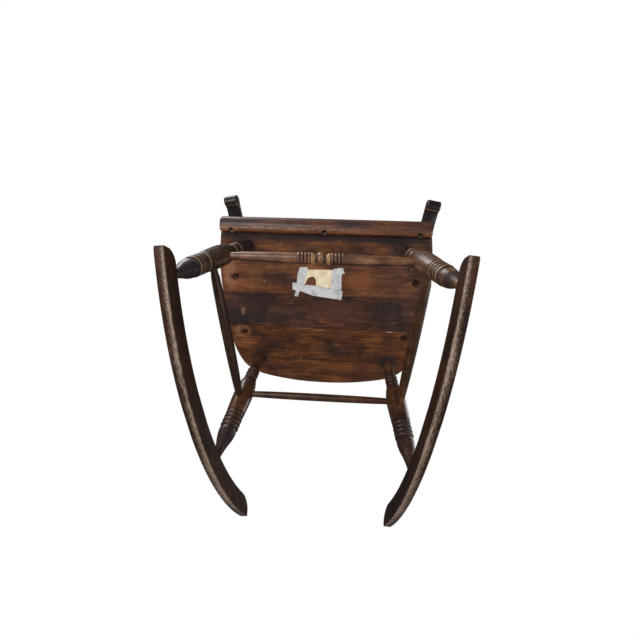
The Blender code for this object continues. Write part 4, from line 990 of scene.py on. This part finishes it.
def bent_rod(name, line, radius_at, beads, material, stands_for, around):
    """A round rod along a bent axis, ringed by small gilded beads: (length, their rise, where they sit)."""
    length, rise, shares = beads
    last = len(line) - 1
    turns = [2 * pi * k / around for k in range(around)]
    rings, gold, grime_and_shade = [], [], []
    for k, spot in enumerate(line):
        away = min(abs(k / last - share) for share in shares) * length
        beaded = away < ROD_BEAD_HALF
        radius = radius_at(k / last) + (rise * cos(away / ROD_BEAD_HALF * pi / 2) if beaded else 0.0)
        way = (line[min(k + 1, last)] - line[max(k - 1, 0)]).normalized()
        across = way.cross(Vector((0, 1, 0))).normalized()
        other = way.cross(across)
        rings.append([spot + (across * cos(turn) + other * sin(turn)) * radius for turn in turns])
        gold.append([0.8 if beaded else 0.0] * around)
        grime_and_shade.append([0.3 if k < 3 else 0.0] * around)
    return finish_piece(loft(rings, {"gold": gold, "grime_and_shade": grime_and_shade}), name, material, Matrix(), stands_for)


def post_radius(share):
    """Even inside the seat, swelling above it, then thinning towards the crest."""
    if share < 0.05:
        return BACK_POST_R
    if share < 0.40:
        return BACK_POST_R + 0.0022 * sin(pi * (share - 0.05) / 0.35)
    return BACK_POST_R - (BACK_POST_R - 0.0076) * min(1.0, (share - 0.40) / 0.54)


def spindle_radius(share):
    return SPINDLE_END_R + (SPINDLE_R - SPINDLE_END_R) * sin(pi * share) ** 0.8


def make_back():
    x, y = BACK_POST_BASE
    for label, side in SIDES:
        material = wood(f"back_post_{label}_wood", RED_BROWN, "Z", 81 + side, 0.5, (0.24, 0.42))
        bent_rod("turned_back_post_" + label, back_line(x * side, y, 260), post_radius, POST_BEADS, material,
                 ["back_post_" + label], 40)
    for k, x in enumerate(SPINDLE_XS):
        line = back_line(x, seat_edge_y(x) - SPINDLE_INSET, 200)
        material = wood(f"spindle_{k + 1}_wood", RED_BROWN, "Z", 91 + k, 0.45, (0.24, 0.42))
        bent_rod(f"turned_spindle_{k + 1}", line, spindle_radius, SPINDLE_BEADS, material,
                 [f"back_spindle_{k + 1}"], 24)


def crest_top(x):
    away = abs(x) / CREST_HALF
    centre = 0.118 - 0.012 * (away / 0.5) ** 2
    step = 0.5 * (1 + cos(pi * min(1.0, max(0.0, (away - 0.48) / 0.20))))
    height = 0.082 + (centre - 0.082) * step if away > 0.48 else centre
    if away > 0.86:
        turn = (away - 0.86) / 0.14
        height = 0.040 + (height - 0.040) * max(0.0, 1 - turn * turn) ** 0.5
    return height


def crest_bottom(x):
    lift = max(0.0, (abs(x) / CREST_HALF - 0.84) / 0.16)
    return 0.040 * (1 - max(0.0, 1 - lift * lift) ** 0.5)


def make_crest():
    rings, wear = [], []
    for k in range(141):
        share = 2 * k / 140 - 1
        x = CREST_HALF * sin(share * pi / 2 * 0.965) / sin(pi / 2 * 0.965)
        low, high = crest_bottom(x), max(crest_top(x), crest_bottom(x) + 0.004)
        ring, worn = [], []
        for across, up in round_rect(CREST_THICK, high - low, 0.0045, 6):
            back, rise = across - crest_bow(x), (low + high) / 2 + up
            ring.append(CREST_BASE + Vector((x, 0, 0)) + CREST_BACK * back + CREST_UP * rise)
            worn.append(0.30 * ease((up / ((high - low) / 2) - 0.8) / 0.2))
        rings.append(ring)
        wear.append(worn)
    material = wood("crest_wood", DARK_RED, "X", 101, 0.4, (0.22, 0.40))
    shell = loft(rings, {"wear": wear, "grime_and_shade": 0.1})
    finish_piece(shell, "curved_crest", material, Matrix(), ["crest_rail"])


# ---- What stays as in the CAD, and the stage ----
CHAIR_MIDDLE = Vector((0, -0.05, 0.40))


def dress_steel():
    steel = steel_material()
    for name, node in frame["nodes"].items():
        if "screw" in name or "_pin_" in name:
            node.data.materials.clear()
            node.data.materials.append(steel)


def make_floor():
    shell = bmesh.new()
    bmesh.ops.create_grid(shell, x_segments=1, y_segments=1, size=40.0)
    floor = linked("floor", mesh_of(shell, "floor"))
    floor.data.materials.append(floor_material())
    floor.visible_shadow = False
    floor.visible_glossy = False


def softbox(name, spot, size, power):
    """A rectangular light aimed at the middle of the chair."""
    light = bpy.data.lights.new(name, "AREA")
    light.shape = "RECTANGLE"
    light.size, light.size_y = size
    light.energy = power
    made = linked(name, light)
    made.location = spot
    made.rotation_euler = (CHAIR_MIDDLE - Vector(spot)).to_track_quat("-Z", "Y").to_euler()


def make_light():
    """Two softboxes below and two above, in a studio whose grey horizon the camera sees fade to white."""
    world = bpy.data.worlds.new("studio")
    bpy.context.scene.world = world
    n = Nodes(world)
    up = n.add("SeparateXYZ", {0: n.add("TexCoord").outputs["Generated"]}).outputs["Z"]
    fade = n.add("MapRange", {"Value": up, "From Max": 0.22, "To Min": 0.56}).outputs[0]
    seen = n.add("Background", {"Color": fade, "Strength": 1.0}).outputs[0]
    soft = n.add("Background", {"Color": (0.95, 0.97, 1.0, 1), "Strength": 0.38}).outputs[0]
    dim = n.add("Background", {"Color": (0.92, 0.96, 1.0, 1), "Strength": 0.10}).outputs[0]
    path = n.add("LightPath").outputs
    around = n.add("MixShader", {0: path["Is Glossy Ray"], 1: soft, 2: dim}).outputs[0]
    either = n.add("MixShader", {0: path["Is Camera Ray"], 1: around, 2: seen}).outputs[0]
    n.add("OutputWorld", {"Surface": either})
    softbox("key_below", SEAT @ Vector((-0.9, -1.2, -1.5)), (1.4, 1.0), 34)
    softbox("fill_below", SEAT @ Vector((1.4, 0.3, -1.2)), (1.0, 1.4), 10)
    softbox("key_above", (-1.6, -2.0, 2.6), (1.6, 1.3), 70)
    softbox("fill_above", (2.2, 0.6, 2.0), (1.6, 1.6), 26)


def make_camera():
    """Stands below the seat's front, looking up at its underside."""
    eye = Vector((0.0599, -0.2689, -0.9652))
    turn = Vector((0.4677, 0.0728, 0.0272))
    seen = Matrix.Rotation(turn.length, 3, turn.normalized()).transposed()
    flip = Matrix(((1, 0, 0), (0, -1, 0), (0, 0, -1)))
    lens = bpy.data.cameras.new("camera")
    lens.sensor_width = 36.0
    lens.lens = 23.9625
    lens.clip_start, lens.clip_end = 0.02, 60.0
    camera = linked("camera", lens)
    camera.matrix_world = SEAT @ Matrix.Translation(eye) @ (seen @ flip).to_4x4()
    bpy.context.scene.camera = camera


make_legs()
make_stretchers()
make_rockers()
make_seat()
make_roll()
make_label()
make_arm_posts()
make_arms()
make_back()
make_crest()
dress_steel()
make_floor()
make_light()
make_camera()

bpy.context.scene.view_settings.view_transform = "Standard"
